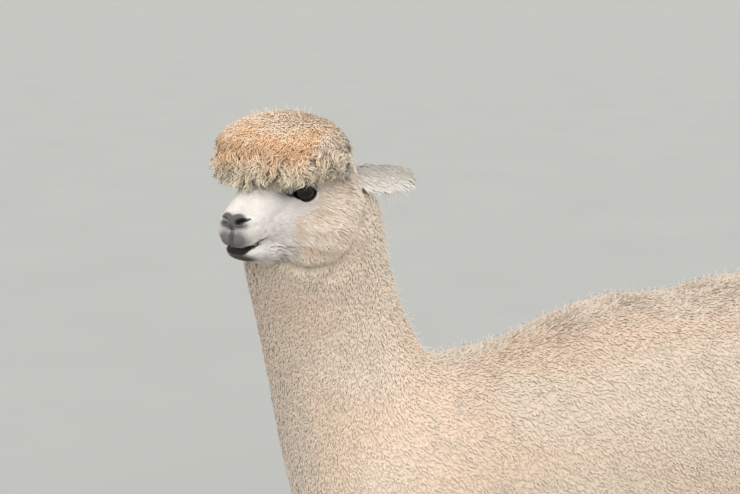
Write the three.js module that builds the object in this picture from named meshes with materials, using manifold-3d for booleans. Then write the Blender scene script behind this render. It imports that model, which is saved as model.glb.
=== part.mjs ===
// A huacaya alpaca, life size, standing square on its four feet with its head turned to its left.
// Millimetres, +Z up. The animal faces -Y and its left side is +X. The origin is on the floor,
// under the middle of its bounding box. Every outline is that of the coat, out to its tips.
import * as THREE from "three";
import { mergeVertices } from "three/addons/utils/BufferGeometryUtils.js";
import Module from "manifold-3d";

const wasm = await Module();
wasm.setup();

// ---------------------------------------------------------------- driving sizes

const GAP = 0.3; // between two sub-parts that meet
const TRUNK = { rump: 1043, loin: 1018, withers: 938, dip: 932, belly: 448, half: 232 };
const NECK = { base: -395, turn: THREE.MathUtils.degToRad(43) };
const HEAD = { y: -560, z: 1249, eye: 57 }; // the midpoint between the eyes, and each eye's distance
const EYE = { radius: 20, sunk: 11, forward: 3, ahead: 0.61, wide: 20, open: 12.5, deep: 16 };
const TOPKNOT = { forward: -15, up: 62, long: 104, half: 104, rise: 55, drop: 46, brow: 17, back: 30 };
const TOPKNOT_SQUARE = { top: 2.1, low: 2.7 };
const EAR = { length: 142, half: 24, cup: 15, wall: 4.5, forward: -72, side: 62, up: 14 };
const EAR_POSE = { splay: 0.42, droop: 0.1, roll: 0.35 }; // radians
const NOSTRIL = { side: 20, forward: 107, up: -31, half: [6, 13, 4], slant: 0.63 };
const TOE = { length: 82, half: 15, apart: 17, splay: 0.09, height: 47, heel: 18 };
const NAIL = { length: 24, half: 7.5, thick: 9, overlap: 14 };
const TAIL = { half: 52 };

const UP = new THREE.Vector3(0, 0, 1);
const vector = (x, y, z) => new THREE.Vector3(x, y, z);

// ---------------------------------------------------------------- surfaces and solids

/** A closed surface over rings of equal count, with a fan at each end. */
function surfaceOver(rings) {
  const around = rings[0].length;
  const places = rings.flat();
  const centre = (ring) =>
    ring.reduce((sum, p) => sum.add(p), vector(0, 0, 0)).divideScalar(around);
  const start = places.push(centre(rings[0])) - 1;
  const end = places.push(centre(rings.at(-1))) - 1;
  const faces = [];
  const last = (rings.length - 1) * around;
  for (let j = 0; j < around; j++) {
    const next = (j + 1) % around;
    faces.push(start, next, j, end, last + j, last + next);
    for (let row = 0; row < last; row += around) {
      const [a, b, c, d] = [row + j, row + next, row + around + j, row + around + next];
      faces.push(a, b, d, a, d, c);
    }
  }
  return new THREE.BufferGeometry().setFromPoints(places).setIndex(faces);
}

/** A geometry as a solid to join and cut, turned to face out. */
function solid(geometry) {
  const bare = new THREE.BufferGeometry()
    .setAttribute("position", geometry.getAttribute("position"))
    .setIndex(geometry.index);
  const { index, attributes } = mergeVertices(bare, 1e-3);
  const corners = new Uint32Array(index.array);
  const make = () =>
    new wasm.Manifold(
      new wasm.Mesh({
        numProp: 3,
        vertProperties: attributes.position.array,
        triVerts: corners,
      }),
    );
  const made = make();
  if (made.volume() > 0) return made;
  for (let i = 0; i < corners.length; i += 3)
    [corners[i + 1], corners[i + 2]] = [corners[i + 2], corners[i + 1]];
  return make();
}

/** A solid's surface. */
function geometryOf(made) {
  const { vertProperties, triVerts } = made.getMesh();
  return new THREE.BufferGeometry()
    .setAttribute("position", new THREE.BufferAttribute(vertProperties, 3))
    .setIndex(new THREE.BufferAttribute(triVerts, 1));
}

/** A solid swollen by the gap, to cut room for it out of a neighbour. */
function room(made) {
  const swollen = geometryOf(made);
  swollen.computeVertexNormals();
  const { position, normal } = swollen.attributes;
  for (let i = 0; i < position.array.length; i++) position.array[i] += GAP * normal.array[i];
  return solid(swollen);
}

const carve = (made, ...rooms) => rooms.reduce((left, one) => left.subtract(one), made);

/** The value of a smooth run through numbers or arrays of numbers, at t from 0 to 1. */
function along(values, t) {
  const run = values.map((v) => vector(...[v, 0, 0].flat().slice(0, 3)));
  return new THREE.CatmullRomCurve3(run, false, "centripetal").getPoint(t);
}

/** One number of a superellipse: |c| raised to 2/n, with c's sign. */
const squared = (c, n) => Math.sign(c) * Math.abs(c) ** (2 / n);

/**
 * A body part drawn by its outline from the side: each station has a top [y, z], a bottom [y, z], the
 * half width between them, and low, the share by which it is wider below its middle.
 */
function outlined(stations, { around, steps, square = 2.15, move = (p) => p }) {
  const rings = [];
  for (let i = 0; i <= steps; i++) {
    const t = i / steps;
    const top = along(stations.map((s) => s.top), t);
    const bottom = along(stations.map((s) => s.bottom), t);
    const size = along(stations.map((s) => [s.half, s.low ?? 0, s.turn ?? 0]), t);
    const half = top.clone().sub(bottom).divideScalar(2);
    const middle = bottom.clone().add(half);
    const ring = [];
    for (let j = 0; j < around; j++) {
      const angle = (2 * Math.PI * j) / around;
      const [c, s] = [squared(Math.cos(angle), square), squared(Math.sin(angle), square)];
      const out = size.x * s * (1 - size.y * c);
      ring.push(move(vector(out, middle.x + half.x * c, middle.y + half.y * c), size.z));
    }
    rings.push(ring);
  }
  return solid(surfaceOver(rings));
}

/** A limb of level rings: each station is [height, x, y, half across, half along]. */
function limb(stations, { around, steps, side = 1 }) {
  const rings = [];
  for (let i = 0; i <= steps; i++) {
    const t = i / steps;
    const at = along(stations.map((s) => [s[1], s[2], s[0]]), t);
    const size = along(stations.map((s) => [s[3], s[4]]), t);
    const ring = [];
    for (let j = 0; j < around; j++) {
      const angle = (2 * Math.PI * j) / around;
      const x = at.x + size.x * Math.sin(angle);
      ring.push(vector(side * x, at.y + size.y * Math.cos(angle), at.z));
    }
    rings.push(ring);
  }
  return solid(surfaceOver(rings));
}

// ---------------------------------------------------------------- trunk and neck

/** The neck's twist to the left about an upright axis, by a share of its whole. */
function turned(p, share) {
  const axis = vector(0, NECK.base, 0);
  return p.sub(axis).applyAxisAngle(UP, share * NECK.turn).add(axis);
}

const BODY = [
  { at: "rump end", top: [548, 880], bottom: [540, 745], half: 62 },
  { at: "buttock", top: [524, 938], bottom: [528, 622], half: 156 },
  { at: "croup", top: [462, 1004], bottom: [462, 545], half: 200 },
  { at: "hip", top: [360, TRUNK.rump], bottom: [352, 498], half: 217 },
  { at: "flank", top: [222, 1017], bottom: [225, 468], half: 224 },
  { at: "loin", top: [110, TRUNK.loin], bottom: [120, 455], half: TRUNK.half, low: 0.05 },
  { at: "back", top: [0, 989], bottom: [5, TRUNK.belly], half: TRUNK.half, low: 0.07 },
  { at: "rib", top: [-100, 949], bottom: [-120, TRUNK.belly], half: TRUNK.half - 8, low: 0.07 },
  { at: "withers", top: [-170, TRUNK.withers], bottom: [-270, 478], half: 208, low: 0.04 },
  { at: "shoulder", top: [-214, TRUNK.dip], bottom: [-385, 545], half: 184, turn: 0.01 },
  { at: "breast", top: [-248, 950], bottom: [-455, 645], half: 160, turn: 0.04 },
  { at: "neck base", top: [-270, 987], bottom: [-484, 745], half: 138, turn: 0.12 },
  { at: "low neck", top: [-292, 1030], bottom: [-502, 850], half: 124, turn: 0.26 },
  { at: "mid neck", top: [-312, 1086], bottom: [-522, 958], half: 113, turn: 0.48 },
  { at: "throat", top: [-330, 1145], bottom: [-552, 1050], half: 106, turn: 0.74 },
  { at: "nape", top: [-340, 1210], bottom: [-592, 1130], half: 98, turn: 0.94 },
  { at: "poll", top: [-384, 1262], bottom: [-606, 1192], half: 78, turn: 1 },
  { at: "neck end", top: [-450, 1282], bottom: [-560, 1240], half: 40, turn: 1 },
];
const body = outlined(BODY, { around: 24, steps: 34, move: turned });

// The plane where the neck leaves the trunk, from the dip of the withers down to the breast.
const NECK_CUT = vector(0, -0.62, 0.785).normalize();
const neckPlace = NECK_CUT.dot(vector(0, -250, 950));

const trunk = body.trimByPlane(NECK_CUT.clone().negate().toArray(), -neckPlace + GAP / 2);
const neck = body.trimByPlane(NECK_CUT.toArray(), neckPlace + GAP / 2);

// ---------------------------------------------------------------- head

// Places on the head count from the midpoint between the eyes: to the left, forward and up.
const onHead = (left, forward, up) =>
  turned(vector(left, HEAD.y - forward, HEAD.z + up), 1);

/** A station of the head: its top and bottom as [forward, up], and its half width. */
const level = ([topForward, topUp], [lowForward, lowUp], half, low = 0) => ({
  top: [HEAD.y - topForward, HEAD.z + topUp],
  bottom: [HEAD.y - lowForward, HEAD.z + lowUp],
  half,
  low,
});

const SKULL = [
  level([-136, 12], [-132, -56], 40),
  level([-120, 54], [-116, -106], 80, 0.2),
  level([-82, 78], [-76, -131], 94, 0.4),
  level([-38, 84], [-34, -131], 90, 0.5),
  level([0, 72], [2, -119], 72, 0.42),
  level([28, 47], [32, -107], 57, 0.16),
  level([52, 26], [54, -94], 47, 0.02),
  level([75, 8], [68, -80], 40, 0.02),
  level([93, -6], [88, -73], 37, 0.06),
  level([106, -15], [104, -72], 34, 0.1),
  level([114, -24], [115, -70], 29, 0.1),
  level([118, -36], [119, -62], 17),
];
const JAW = [
  level([20, -60], [24, -99], 30),
  level([48, -62], [52, -104], 34),
  level([74, -64], [74, -102], 33),
  level([94, -66], [94, -97], 30),
  level([106, -68], [105, -91], 23),
  level([111, -74], [110, -84], 12),
];
const rigid = (p) => turned(p, 1);
const skull = outlined(SKULL, { around: 20, steps: 18, move: rigid });

function eyeball(side) {
  const at = onHead(side * (HEAD.eye - EYE.sunk), EYE.forward, 0);
  return solid(new THREE.SphereGeometry(EYE.radius, 12, 8).translate(at.x, at.y, at.z));
}

/** The opening between the lids, facing out and a little ahead. */
function lids(side) {
  const opening = new THREE.SphereGeometry(1, 10, 6).scale(EYE.deep, EYE.wide, EYE.open);
  const at = onHead(side * (HEAD.eye + 7), EYE.forward + 13, 0);
  return solid(opening.rotateZ(NECK.turn - side * EYE.ahead).translate(at.x, at.y, at.z));
}

/** A nostril's slit, slanting back and out across the corner of the nose. */
function nostril(side) {
  const pit = new THREE.SphereGeometry(1, 8, 4).scale(...NOSTRIL.half);
  const at = onHead(side * NOSTRIL.side, NOSTRIL.forward, NOSTRIL.up);
  return solid(pit.rotateZ(NECK.turn - side * NOSTRIL.slant).translate(at.x, at.y, at.z));
}

/** The cleft of the upper lip, from under the nose to the mouth. */
function lipCleft() {
  const wedge = new THREE.CylinderGeometry(2.6, 2.6, 34, 6).rotateX(Math.PI / 2 - 0.1);
  const at = onHead(0, 120, -57);
  return solid(wedge.rotateZ(NECK.turn).translate(at.x, at.y, at.z));
}

const jaw = outlined(JAW, { around: 12, steps: 8, move: rigid });

/** The fleece cap, square of shoulder, fullest over the poll and lower over the brow. */
function topknot() {
  const { forward, up, long, half, rise, drop, brow, back } = TOPKNOT;
  const dome = new THREE.SphereGeometry(1, 22, 10).rotateX(Math.PI / 2);
  const place = dome.getAttribute("position");
  for (let i = 0; i < place.count; i++) {
    const p = vector().fromBufferAttribute(place, i);
    const square = p.z > 0 ? TOPKNOT_SQUARE.top : TOPKNOT_SQUARE.low;
    const sum = [p.x, p.y, p.z].reduce((total, c) => total + Math.abs(c) ** square, 0);
    p.multiplyScalar(sum ** (-1 / square));
    const height = (p.z > 0 ? rise : drop + brow * Math.max(0, -p.y)) * p.z;
    const slope = back * Math.max(0, p.y) ** 1.5 * (1 - Math.max(0, p.z));
    p.set(half * p.x, HEAD.y - forward + long * p.y, HEAD.z + up + height - slope);
    place.setXYZ(i, ...rigid(p).toArray());
  }
  return solid(dome);
}

/** An ear: a cupped leaf laid back beside the neck, its hollow facing out and down. */
function ear(side) {
  const { length, half, cup, wall, forward, up } = EAR;
  const steps = 8;
  const across = 4;
  const rings = [];
  for (let i = 0; i <= steps; i++) {
    const t = i / steps;
    const root = Math.sin(0.5 * Math.PI * Math.min(1, t / 0.55));
    const wide = half * (0.55 + 0.45 * root) * Math.sqrt(1 - 0.9 * t ** 7);
    const deep = cup * (1 - 0.6 * t);
    const ring = [];
    const arc = (from, to, bulge) => {
      for (let j = 0; j <= across; j++) {
        const s = THREE.MathUtils.lerp(from, to, j / across);
        ring.push(vector(-bulge * (1 - s * s), length * t, wide * s));
      }
    };
    arc(1, -1, deep + wall / 2);
    arc(-0.88, 0.88, deep - wall / 2);
    rings.push(ring);
  }
  const pose = new THREE.Matrix4()
    .makeTranslation(...onHead(side * EAR.side, forward, up).toArray())
    .multiply(new THREE.Matrix4().makeRotationZ(NECK.turn - side * EAR_POSE.splay))
    .multiply(new THREE.Matrix4().makeRotationX(-EAR_POSE.droop))
    .multiply(new THREE.Matrix4().makeRotationY(side * EAR_POSE.roll));
  return solid(surfaceOver(rings).scale(side, 1, 1).applyMatrix4(pose));
}

// ---------------------------------------------------------------- legs, feet and tail

// A limb's stations, from the top down: [height, x, y, half across, half along].
const FORE_LEG = [
  [650, 98, -280, 58, 84],
  [610, 112, -284, 74, 100],
  [550, 116, -284, 81, 97],
  [470, 112, -278, 70, 77],
  [390, 107, -274, 58, 62],
  [330, 105, -274, 52, 54],
  [275, 104, -271, 48, 49],
];
const FORE_SHANK = [
  [275 - GAP, 104, -271, 48, 49],
  [215, 104, -270, 46, 47],
  [160, 104, -270, 44, 45],
  [122, 104, -272, 36, 38],
  [98, 104, -275, 30, 33],
];
const HIND_LEG = [
  [680, 96, 408, 62, 90],
  [635, 116, 412, 84, 118],
  [580, 126, 420, 88, 120],
  [500, 124, 434, 78, 102],
  [420, 120, 459, 63, 76],
  [355, 116, 476, 52, 59],
  [300, 114, 478, 48, 50],
];
const HIND_SHANK = [
  [300 - GAP, 114, 478, 48, 50],
  [235, 113, 470, 46, 47],
  [170, 112, 461, 44, 45],
  [125, 112, 455, 36, 39],
  [98, 112, 451, 30, 33],
];

/** Sets a shape drawn on the middle plane over a toe: to the side by x, and splayed about its heel. */
const onToe = ({ x, heel, splay }) => (p) =>
  p.sub(vector(0, heel, 0)).applyAxisAngle(UP, splay).add(vector(x, heel, 0));

/** A toe, seen from the side from its heel forward; its sole lies a little under the floor. */
function toe(place) {
  const { length, half, height } = TOE;
  const station = (share, top, bottom, wide) => ({
    top: [place.heel - share * length, top],
    bottom: [place.heel - share * length, bottom],
    half: wide * half,
  });
  const shape = [
    station(-0.03, 26, 10, 0.4),
    station(0.1, height - 4, -3, 0.95),
    station(0.35, height, -5, 1.08),
    station(0.62, height - 12, -5, 1.06),
    station(0.85, height - 24, -4, 0.86),
    station(1, 15, 3, 0.4),
  ];
  return outlined(shape, { around: 8, steps: 5, square: 2.5, move: onToe(place) });
}

/** The nail over a toe's tip, curving down to just above the floor. */
function nail(place) {
  const { length, half, thick, overlap } = NAIL;
  const root = place.heel - TOE.length + overlap;
  const station = (share, height, size) => ({
    top: [root - share * length, height + thick * size],
    bottom: [root - share * length, height - thick * size],
    half: half * size,
  });
  const shape = [
    station(-0.1, 21, 0.35),
    station(0.15, 19, 1),
    station(0.5, 15, 0.95),
    station(0.8, 10, 0.7),
    station(1, 5.5, 0.25),
  ];
  return outlined(shape, { around: 6, steps: 3, square: 2, move: onToe(place) });
}

/** A foot and its two nails, under the last station of a shank. */
function foot(shank, side) {
  const [top, x, y, wide, deep] = shank.at(-1);
  const pastern = limb(
    [
      [top - GAP, x, y, wide - 1, deep - 1],
      [top - 30, x, y - 7, wide - 2, deep - 2],
      [top - 58, x, y - 15, wide - 3, deep - 5],
      [top - 80, x, y - 17, wide - 8, deep - 12],
    ],
    { around: 10, steps: 3, side },
  );
  const places = [-1, 1].map((t) => ({
    name: t * side > 0 ? "outer" : "inner",
    x: side * x + t * TOE.apart,
    heel: y + TOE.heel,
    splay: t * TOE.splay,
  }));
  const nails = places.map((place) => ({ name: place.name, shape: nail(place) }));
  const joined = places.reduce((made, place) => made.add(toe(place)), pastern);
  const flesh = carve(joined, ...nails.map((one) => room(one.shape)));
  return { flesh: flesh.trimByPlane([0, 0, 1], 0), nails };
}

const TAIL_OUTLINE = [
  { top: [490, 915], bottom: [478, 850], half: TAIL.half * 0.7 },
  { top: [556, 928], bottom: [505, 826], half: TAIL.half * 0.95 },
  { top: [600, 886], bottom: [525, 788], half: TAIL.half },
  { top: [622, 815], bottom: [537, 748], half: TAIL.half * 0.96 },
  { top: [620, 742], bottom: [546, 708], half: TAIL.half * 0.75 },
  { top: [602, 698], bottom: [562, 688], half: TAIL.half * 0.3 },
];

// ---------------------------------------------------------------- the animal

const FINISHES = {
  fleece: new THREE.MeshStandardMaterial({ color: 0xdccbb6, roughness: 0.95 }),
  cap: new THREE.MeshStandardMaterial({ color: 0xd3b48d, roughness: 0.95 }),
  hair: new THREE.MeshStandardMaterial({ color: 0xe8e2d9, roughness: 0.85 }),
  eye: new THREE.MeshStandardMaterial({ color: 0x120e0b, roughness: 0.08 }),
  horn: new THREE.MeshStandardMaterial({ color: 0x5a5046, roughness: 0.5 }),
};

const alpaca = new THREE.Group();
function add(name, made, finish) {
  const mesh = new THREE.Mesh(geometryOf(made), FINISHES[finish]);
  mesh.name = name;
  alpaca.add(mesh);
}

const trunkRoom = room(trunk);
const headRoom = room(skull);
const bodyRoom = room(body);
const cap = topknot();
const capRoom = room(cap);
const eyeRooms = [1, -1].map((side) => room(eyeball(side)));
const openings = [lids(1), lids(-1), nostril(1), nostril(-1), lipCleft()];
const tail = outlined(TAIL_OUTLINE, { around: 12, steps: 8 });

add("trunk", trunk, "fleece");
add("neck", carve(neck, headRoom, room(jaw)), "fleece");
add("head", carve(skull, ...eyeRooms, ...openings), "hair");
add("lower_jaw", carve(jaw, headRoom), "hair");
add("topknot", carve(cap, headRoom, bodyRoom, ...eyeRooms), "cap");
add("tail", carve(tail, trunkRoom), "fleece");

/** A leg in its three lengths, with its nails. */
function addLeg(end, upper, shank, side, name) {
  const leg = limb(upper, { around: 14, steps: 7, side });
  const { flesh, nails } = foot(shank, side);
  add(`${end}_leg_${name}`, carve(leg, trunkRoom), "fleece");
  add(`${end}_shank_${name}`, limb(shank, { around: 12, steps: 4, side }), "fleece");
  add(`${end}_foot_${name}`, flesh, "hair");
  for (const one of nails) add(`${end}_nail_${name}_${one.name}`, one.shape, "horn");
}

for (const [side, name] of [[1, "left"], [-1, "right"]]) {
  add(`ear_${name}`, carve(ear(side), headRoom, capRoom, bodyRoom), "hair");
  add(`eye_${name}`, eyeball(side), "eye");
  addLeg("fore", FORE_LEG, FORE_SHANK, side, name);
  addLeg("hind", HIND_LEG, HIND_SHANK, side, name);
}

const box = new THREE.Box3().setFromObject(alpaca);
const middle = box.getCenter(vector());
alpaca.position.set(-middle.x, -middle.y, 0);

export default alpaca;
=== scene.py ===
"""A standing alpaca: one skin, its eyes and nails, and a fleece of solid tufts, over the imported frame.

Lengths are in metres. X runs to the animal's left, Y to its tail and Z up.
"""

import logging
import math
from dataclasses import dataclass, field
from enum import Enum
from functools import partial
from typing import Callable, Optional, Sequence, Union

import bmesh
import bpy
import numpy as np
from mathutils import Matrix, Vector
from mathutils.bvhtree import BVHTree
from mathutils.kdtree import KDTree


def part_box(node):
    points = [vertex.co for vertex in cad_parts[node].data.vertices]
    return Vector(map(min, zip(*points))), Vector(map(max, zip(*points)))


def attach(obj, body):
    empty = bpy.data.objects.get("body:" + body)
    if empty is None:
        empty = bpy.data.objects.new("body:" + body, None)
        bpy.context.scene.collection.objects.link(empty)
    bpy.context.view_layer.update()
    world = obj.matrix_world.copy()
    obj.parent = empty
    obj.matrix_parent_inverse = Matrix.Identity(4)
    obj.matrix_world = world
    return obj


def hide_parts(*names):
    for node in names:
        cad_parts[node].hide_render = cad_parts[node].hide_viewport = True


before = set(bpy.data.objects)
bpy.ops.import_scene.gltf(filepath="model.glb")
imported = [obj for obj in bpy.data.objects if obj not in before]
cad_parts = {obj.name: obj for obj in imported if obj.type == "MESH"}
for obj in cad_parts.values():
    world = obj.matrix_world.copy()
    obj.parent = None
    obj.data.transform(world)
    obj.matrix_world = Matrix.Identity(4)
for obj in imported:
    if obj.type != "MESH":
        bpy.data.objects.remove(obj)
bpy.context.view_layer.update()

LOG = logging.getLogger("alpaca")
MM = 0.001
GROUND_GAP = 0.3 * MM
TRUNK_MIDDLE = np.array([0.0, 0.0, 0.73])
TAILWARD = np.array([0.0, 1.0, 0.0])
UP = np.array([0.0, 0.0, 1.0])
DOWN = np.array([0.0, 0.0, -1.0])
Array = np.ndarray
Chart = Callable[[Array], tuple[Array, Array]]


# ------------------------------------------------------------------ numbers and places


def unit(vectors: Array) -> Array:
    """Vectors at length one."""
    return vectors / np.maximum(np.linalg.norm(vectors, axis=-1, keepdims=True), 1e-12)


def ease(low: float, high: float, value: Array) -> Array:
    """A smooth step from 0 at low to 1 at high."""
    t = np.clip((value - low) / (high - low), 0.0, 1.0)
    return t * t * (3.0 - 2.0 * t)


def blend(low: Array, high: Array, share: Array) -> Array:
    """Two colours, or rows of them, mixed by a share for each row."""
    return low + (high - low) * share[:, None]


def colour(red: int, green: int, blue: int) -> Array:
    """A display colour, 0 to 255, as linear light."""
    c = np.array([red, green, blue]) / 255.0
    return np.where(c <= 0.04045, c / 12.92, ((c + 0.055) / 1.055) ** 2.4)


def centre_of(node: str) -> Array:
    """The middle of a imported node's box."""
    low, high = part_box(node)
    return (np.array(low) + np.array(high)) / 2


@dataclass(frozen=True)
class Ripple:
    """Smooth noise over space: a sum of waves in seeded directions.

    Attributes:
        wavelength: the waves' length.
        seed: the seed of their directions.
        waves: how many there are.
    """

    wavelength: float
    seed: int
    waves: int = 14

    def __call__(self, points: Array) -> Array:
        """The noise at each point, mostly between -1 and 1."""
        rng = np.random.default_rng(self.seed)
        ways = unit(rng.normal(size=(self.waves, 3)))
        pitch = self.wavelength * rng.uniform(0.65, 1.5, self.waves)
        phase = rng.uniform(0, 2 * np.pi, self.waves)
        waves = np.sin(points @ (ways * (2 * np.pi / pitch)[:, None]).T + phase)
        return waves.sum(1) * 0.9 / math.sqrt(self.waves)

    def vectors(self, points: Array) -> Array:
        """Three of these noises, as a vector at each point."""
        each = [Ripple(self.wavelength, self.seed + 101 * k, self.waves)(points) for k in (1, 2, 3)]
        return np.stack(each, -1)


@dataclass(frozen=True)
class HeadAxes:
    """The head's own axes, in millimetres from midway between the eyes.

    Attributes:
        origin: that middle, in the frame.
        forward: towards the nose.
        left: towards the left ear.
    """

    origin: Array
    forward: Array
    left: Array

    def local(self, points: Array) -> Array:
        """Points as forward, left and up, in millimetres."""
        rel = points - self.origin
        return np.stack([rel @ self.forward, rel @ self.left, rel[:, 2]], -1) / MM

    def place(self, forward: float, left: float, up: float) -> Array:
        """The point at these millimetres, in the frame."""
        return self.origin + self.way(forward, left, up) * MM

    def way(self, forward: float, left: float, up: float) -> Array:
        """A direction given in the head's axes."""
        return self.forward * forward + self.left * left + np.array([0.0, 0.0, up])


def head_axes(ahead: float = 3.0) -> HeadAxes:
    """The head's axes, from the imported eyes.

    Args:
        ahead: how far the eyes lie before the origin, in millimetres.
    """
    left_eye, right_eye = centre_of("eye_left"), centre_of("eye_right")
    left = unit(left_eye - right_eye)
    forward = np.array([left[1], -left[0], 0.0])
    return HeadAxes((left_eye + right_eye) / 2 - forward * ahead * MM, forward, left)


HEAD = head_axes()


def path_distance(points: Array, path: Sequence[Sequence[float]]) -> tuple[Array, Array]:
    """How far points lie from a run of straight pieces.

    Args:
        points: rows of coordinates.
        path: the run's corners.

    Returns:
        Each point's distance, and its place along the run from 0 to 1.
    """
    corners = np.array(path, float)
    best = np.full(len(points), 1e9)
    share = np.zeros(len(points))
    for i, (a, b) in enumerate(zip(corners[:-1], corners[1:])):
        step = b - a
        t = np.clip((points - a) @ step / (step @ step), 0, 1)
        d = np.linalg.norm(points - a - t[:, None] * step, axis=1)
        near = d < best
        best[near] = d[near]
        share[near] = (i + t[near]) / (len(corners) - 1)
    return best, share


def blob(points: Array, middle: Sequence[float], radii: Sequence[float]) -> Array:
    """A soft ellipsoid: 1 at its middle, about a third at its radii, and 0 far off."""
    q = (points - np.array(middle)) / np.array(radii)
    return np.exp(-(q * q).sum(1))


def bell(distance: Array, reach: Union[Array, float]) -> Array:
    """A soft band: 1 at a distance of 0, and about a third at its reach."""
    return np.exp(-((distance / reach) ** 2))


def stripe(points: Array, path: Sequence[Sequence[float]], reach: float) -> Array:
    """A soft band about a run of straight pieces."""
    return bell(path_distance(points, path)[0], reach)


def mirrored(points: Array) -> Array:
    """Head places with the right side folded onto the left."""
    return points * [1, 0, 1] + np.abs(points) * [0, 1, 0]


# ------------------------------------------------------------------ shaders


class Wire:
    """A shader value: arithmetic on it adds Math nodes."""

    def __init__(self, tree: bpy.types.NodeTree, socket: bpy.types.NodeSocket) -> None:
        """Wraps one output socket."""
        self.tree = tree
        self.socket = socket

    def math(self, operation: str, *values: Union["Wire", float], clamp: bool = False) -> "Wire":
        """A Math node on the values, in order."""
        node = self.tree.nodes.new("ShaderNodeMath")
        node.operation = operation
        node.use_clamp = clamp
        for slot, value in zip(node.inputs, values):
            if isinstance(value, Wire):
                self.tree.links.new(value.socket, slot)
            else:
                slot.default_value = value
        return Wire(self.tree, node.outputs[0])

    def __add__(self, other: Union["Wire", float]) -> "Wire":
        """self + other."""
        return self.math("ADD", self, other)

    def __sub__(self, other: Union["Wire", float]) -> "Wire":
        """self - other."""
        return self.math("SUBTRACT", self, other)

    def __rsub__(self, other: float) -> "Wire":
        """other - self."""
        return self.math("SUBTRACT", other, self)

    def __mul__(self, other: Union["Wire", float]) -> "Wire":
        """self * other."""
        return self.math("MULTIPLY", self, other)

    def __truediv__(self, other: float) -> "Wire":
        """self / other."""
        return self.math("DIVIDE", self, other)

    def __pow__(self, other: float) -> "Wire":
        """self to a power."""
        return self.math("POWER", self, other)

    __radd__ = __add__
    __rmul__ = __mul__

    def step(self, low: float, high: float) -> "Wire":
        """A smooth step of the value from low to high."""
        node = self.tree.nodes.new("ShaderNodeMapRange")
        node.interpolation_type = "SMOOTHSTEP"
        self.tree.links.new(self.socket, node.inputs["Value"])
        node.inputs["From Min"].default_value = low
        node.inputs["From Max"].default_value = high
        return Wire(self.tree, node.outputs["Result"])


class Shader:
    """One material under construction: a Principled shader and what feeds it."""

    def __init__(self, name: str, **constants: Union[float, Sequence[float]]) -> None:
        """Starts the material.

        Args:
            name: the material's name.
            **constants: values of the Principled shader's sockets, with _ for a space.
        """
        self.material = bpy.data.materials.new(name)
        self.material.use_nodes = True
        self.tree = self.material.node_tree
        self.tree.nodes.clear()
        self.surface = self.tree.nodes.new("ShaderNodeBsdfPrincipled")
        for socket, value in constants.items():
            self.surface.inputs[socket.replace("_", " ")].default_value = value
        output = self.tree.nodes.new("ShaderNodeOutputMaterial")
        self.tree.links.new(self.surface.outputs[0], output.inputs["Surface"])

    def node(
        self,
        kind: str,
        output: Union[str, int] = 0,
        settings: Optional[dict[str, object]] = None,
        **inputs: Union[Wire, float, Sequence[float]],
    ) -> Wire:
        """Adds a node.

        Args:
            kind: its type, after ShaderNode.
            output: the socket to hand back.
            settings: its own settings, set first.
            **inputs: values or wires of its sockets, with _ for a space.

        Returns:
            The output as a Wire.
        """
        node = self.tree.nodes.new("ShaderNode" + kind)
        for key, value in (settings or {}).items():
            setattr(node, key, value)
        for key, value in inputs.items():
            self.feed(node.inputs[key.replace("_", " ")], value)
        return Wire(self.tree, node.outputs[output])

    def feed(self, socket: bpy.types.NodeSocket, value: Union[Wire, float, Sequence[float]]) -> None:
        """Links or sets one socket."""
        if isinstance(value, Wire):
            self.tree.links.new(value.socket, socket)
        else:
            socket.default_value = value

    def set(self, **inputs: Union[Wire, float, Sequence[float]]) -> None:
        """Feeds the Principled shader's sockets, with _ for a space."""
        for key, value in inputs.items():
            self.feed(self.surface.inputs[key.replace("_", " ")], value)

    def where(self) -> Wire:
        """Object coordinates."""
        return self.node("TexCoord", "Object")

    def noise(self, scale: float, detail: float = 3.0, stretch: Sequence[float] = (1, 1, 1)) -> Wire:
        """Noise over object coordinates, stretched along the axes."""
        place = self.node("Mapping", Vector=self.where(), Scale=tuple(stretch))
        return self.node("TexNoise", "Fac", Vector=place, Scale=scale, Detail=detail)

    def tint(self) -> Wire:
        """The piece's own markings."""
        return self.node("Attribute", "Color", {"attribute_name": "tint"})

    def mix(
        self,
        share: Union[Wire, float],
        low: Union[Wire, Sequence[float]],
        high: Union[Wire, Sequence[float]],
        way: str = "MIX",
    ) -> Wire:
        """Two colours mixed by a share."""
        node = self.tree.nodes.new("ShaderNodeMix")
        node.data_type = "RGBA"
        node.blend_type = way
        for key, value in (("Factor_Float", share), ("A_Color", low), ("B_Color", high)):
            socket = next(s for s in node.inputs if s.identifier == key)
            if not isinstance(value, (Wire, float)):
                value = tuple(value)[:3] + (1.0,)
            self.feed(socket, value)
        return Wire(self.tree, next(s for s in node.outputs if s.identifier == "Result_Color"))

    def bump(self, height: Wire, distance: float, strength: float = 1.0) -> None:
        """Feeds the normal from a height, in metres of relief."""
        self.set(Normal=self.node("Bump", Strength=strength, Distance=distance, Height=height))


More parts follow.
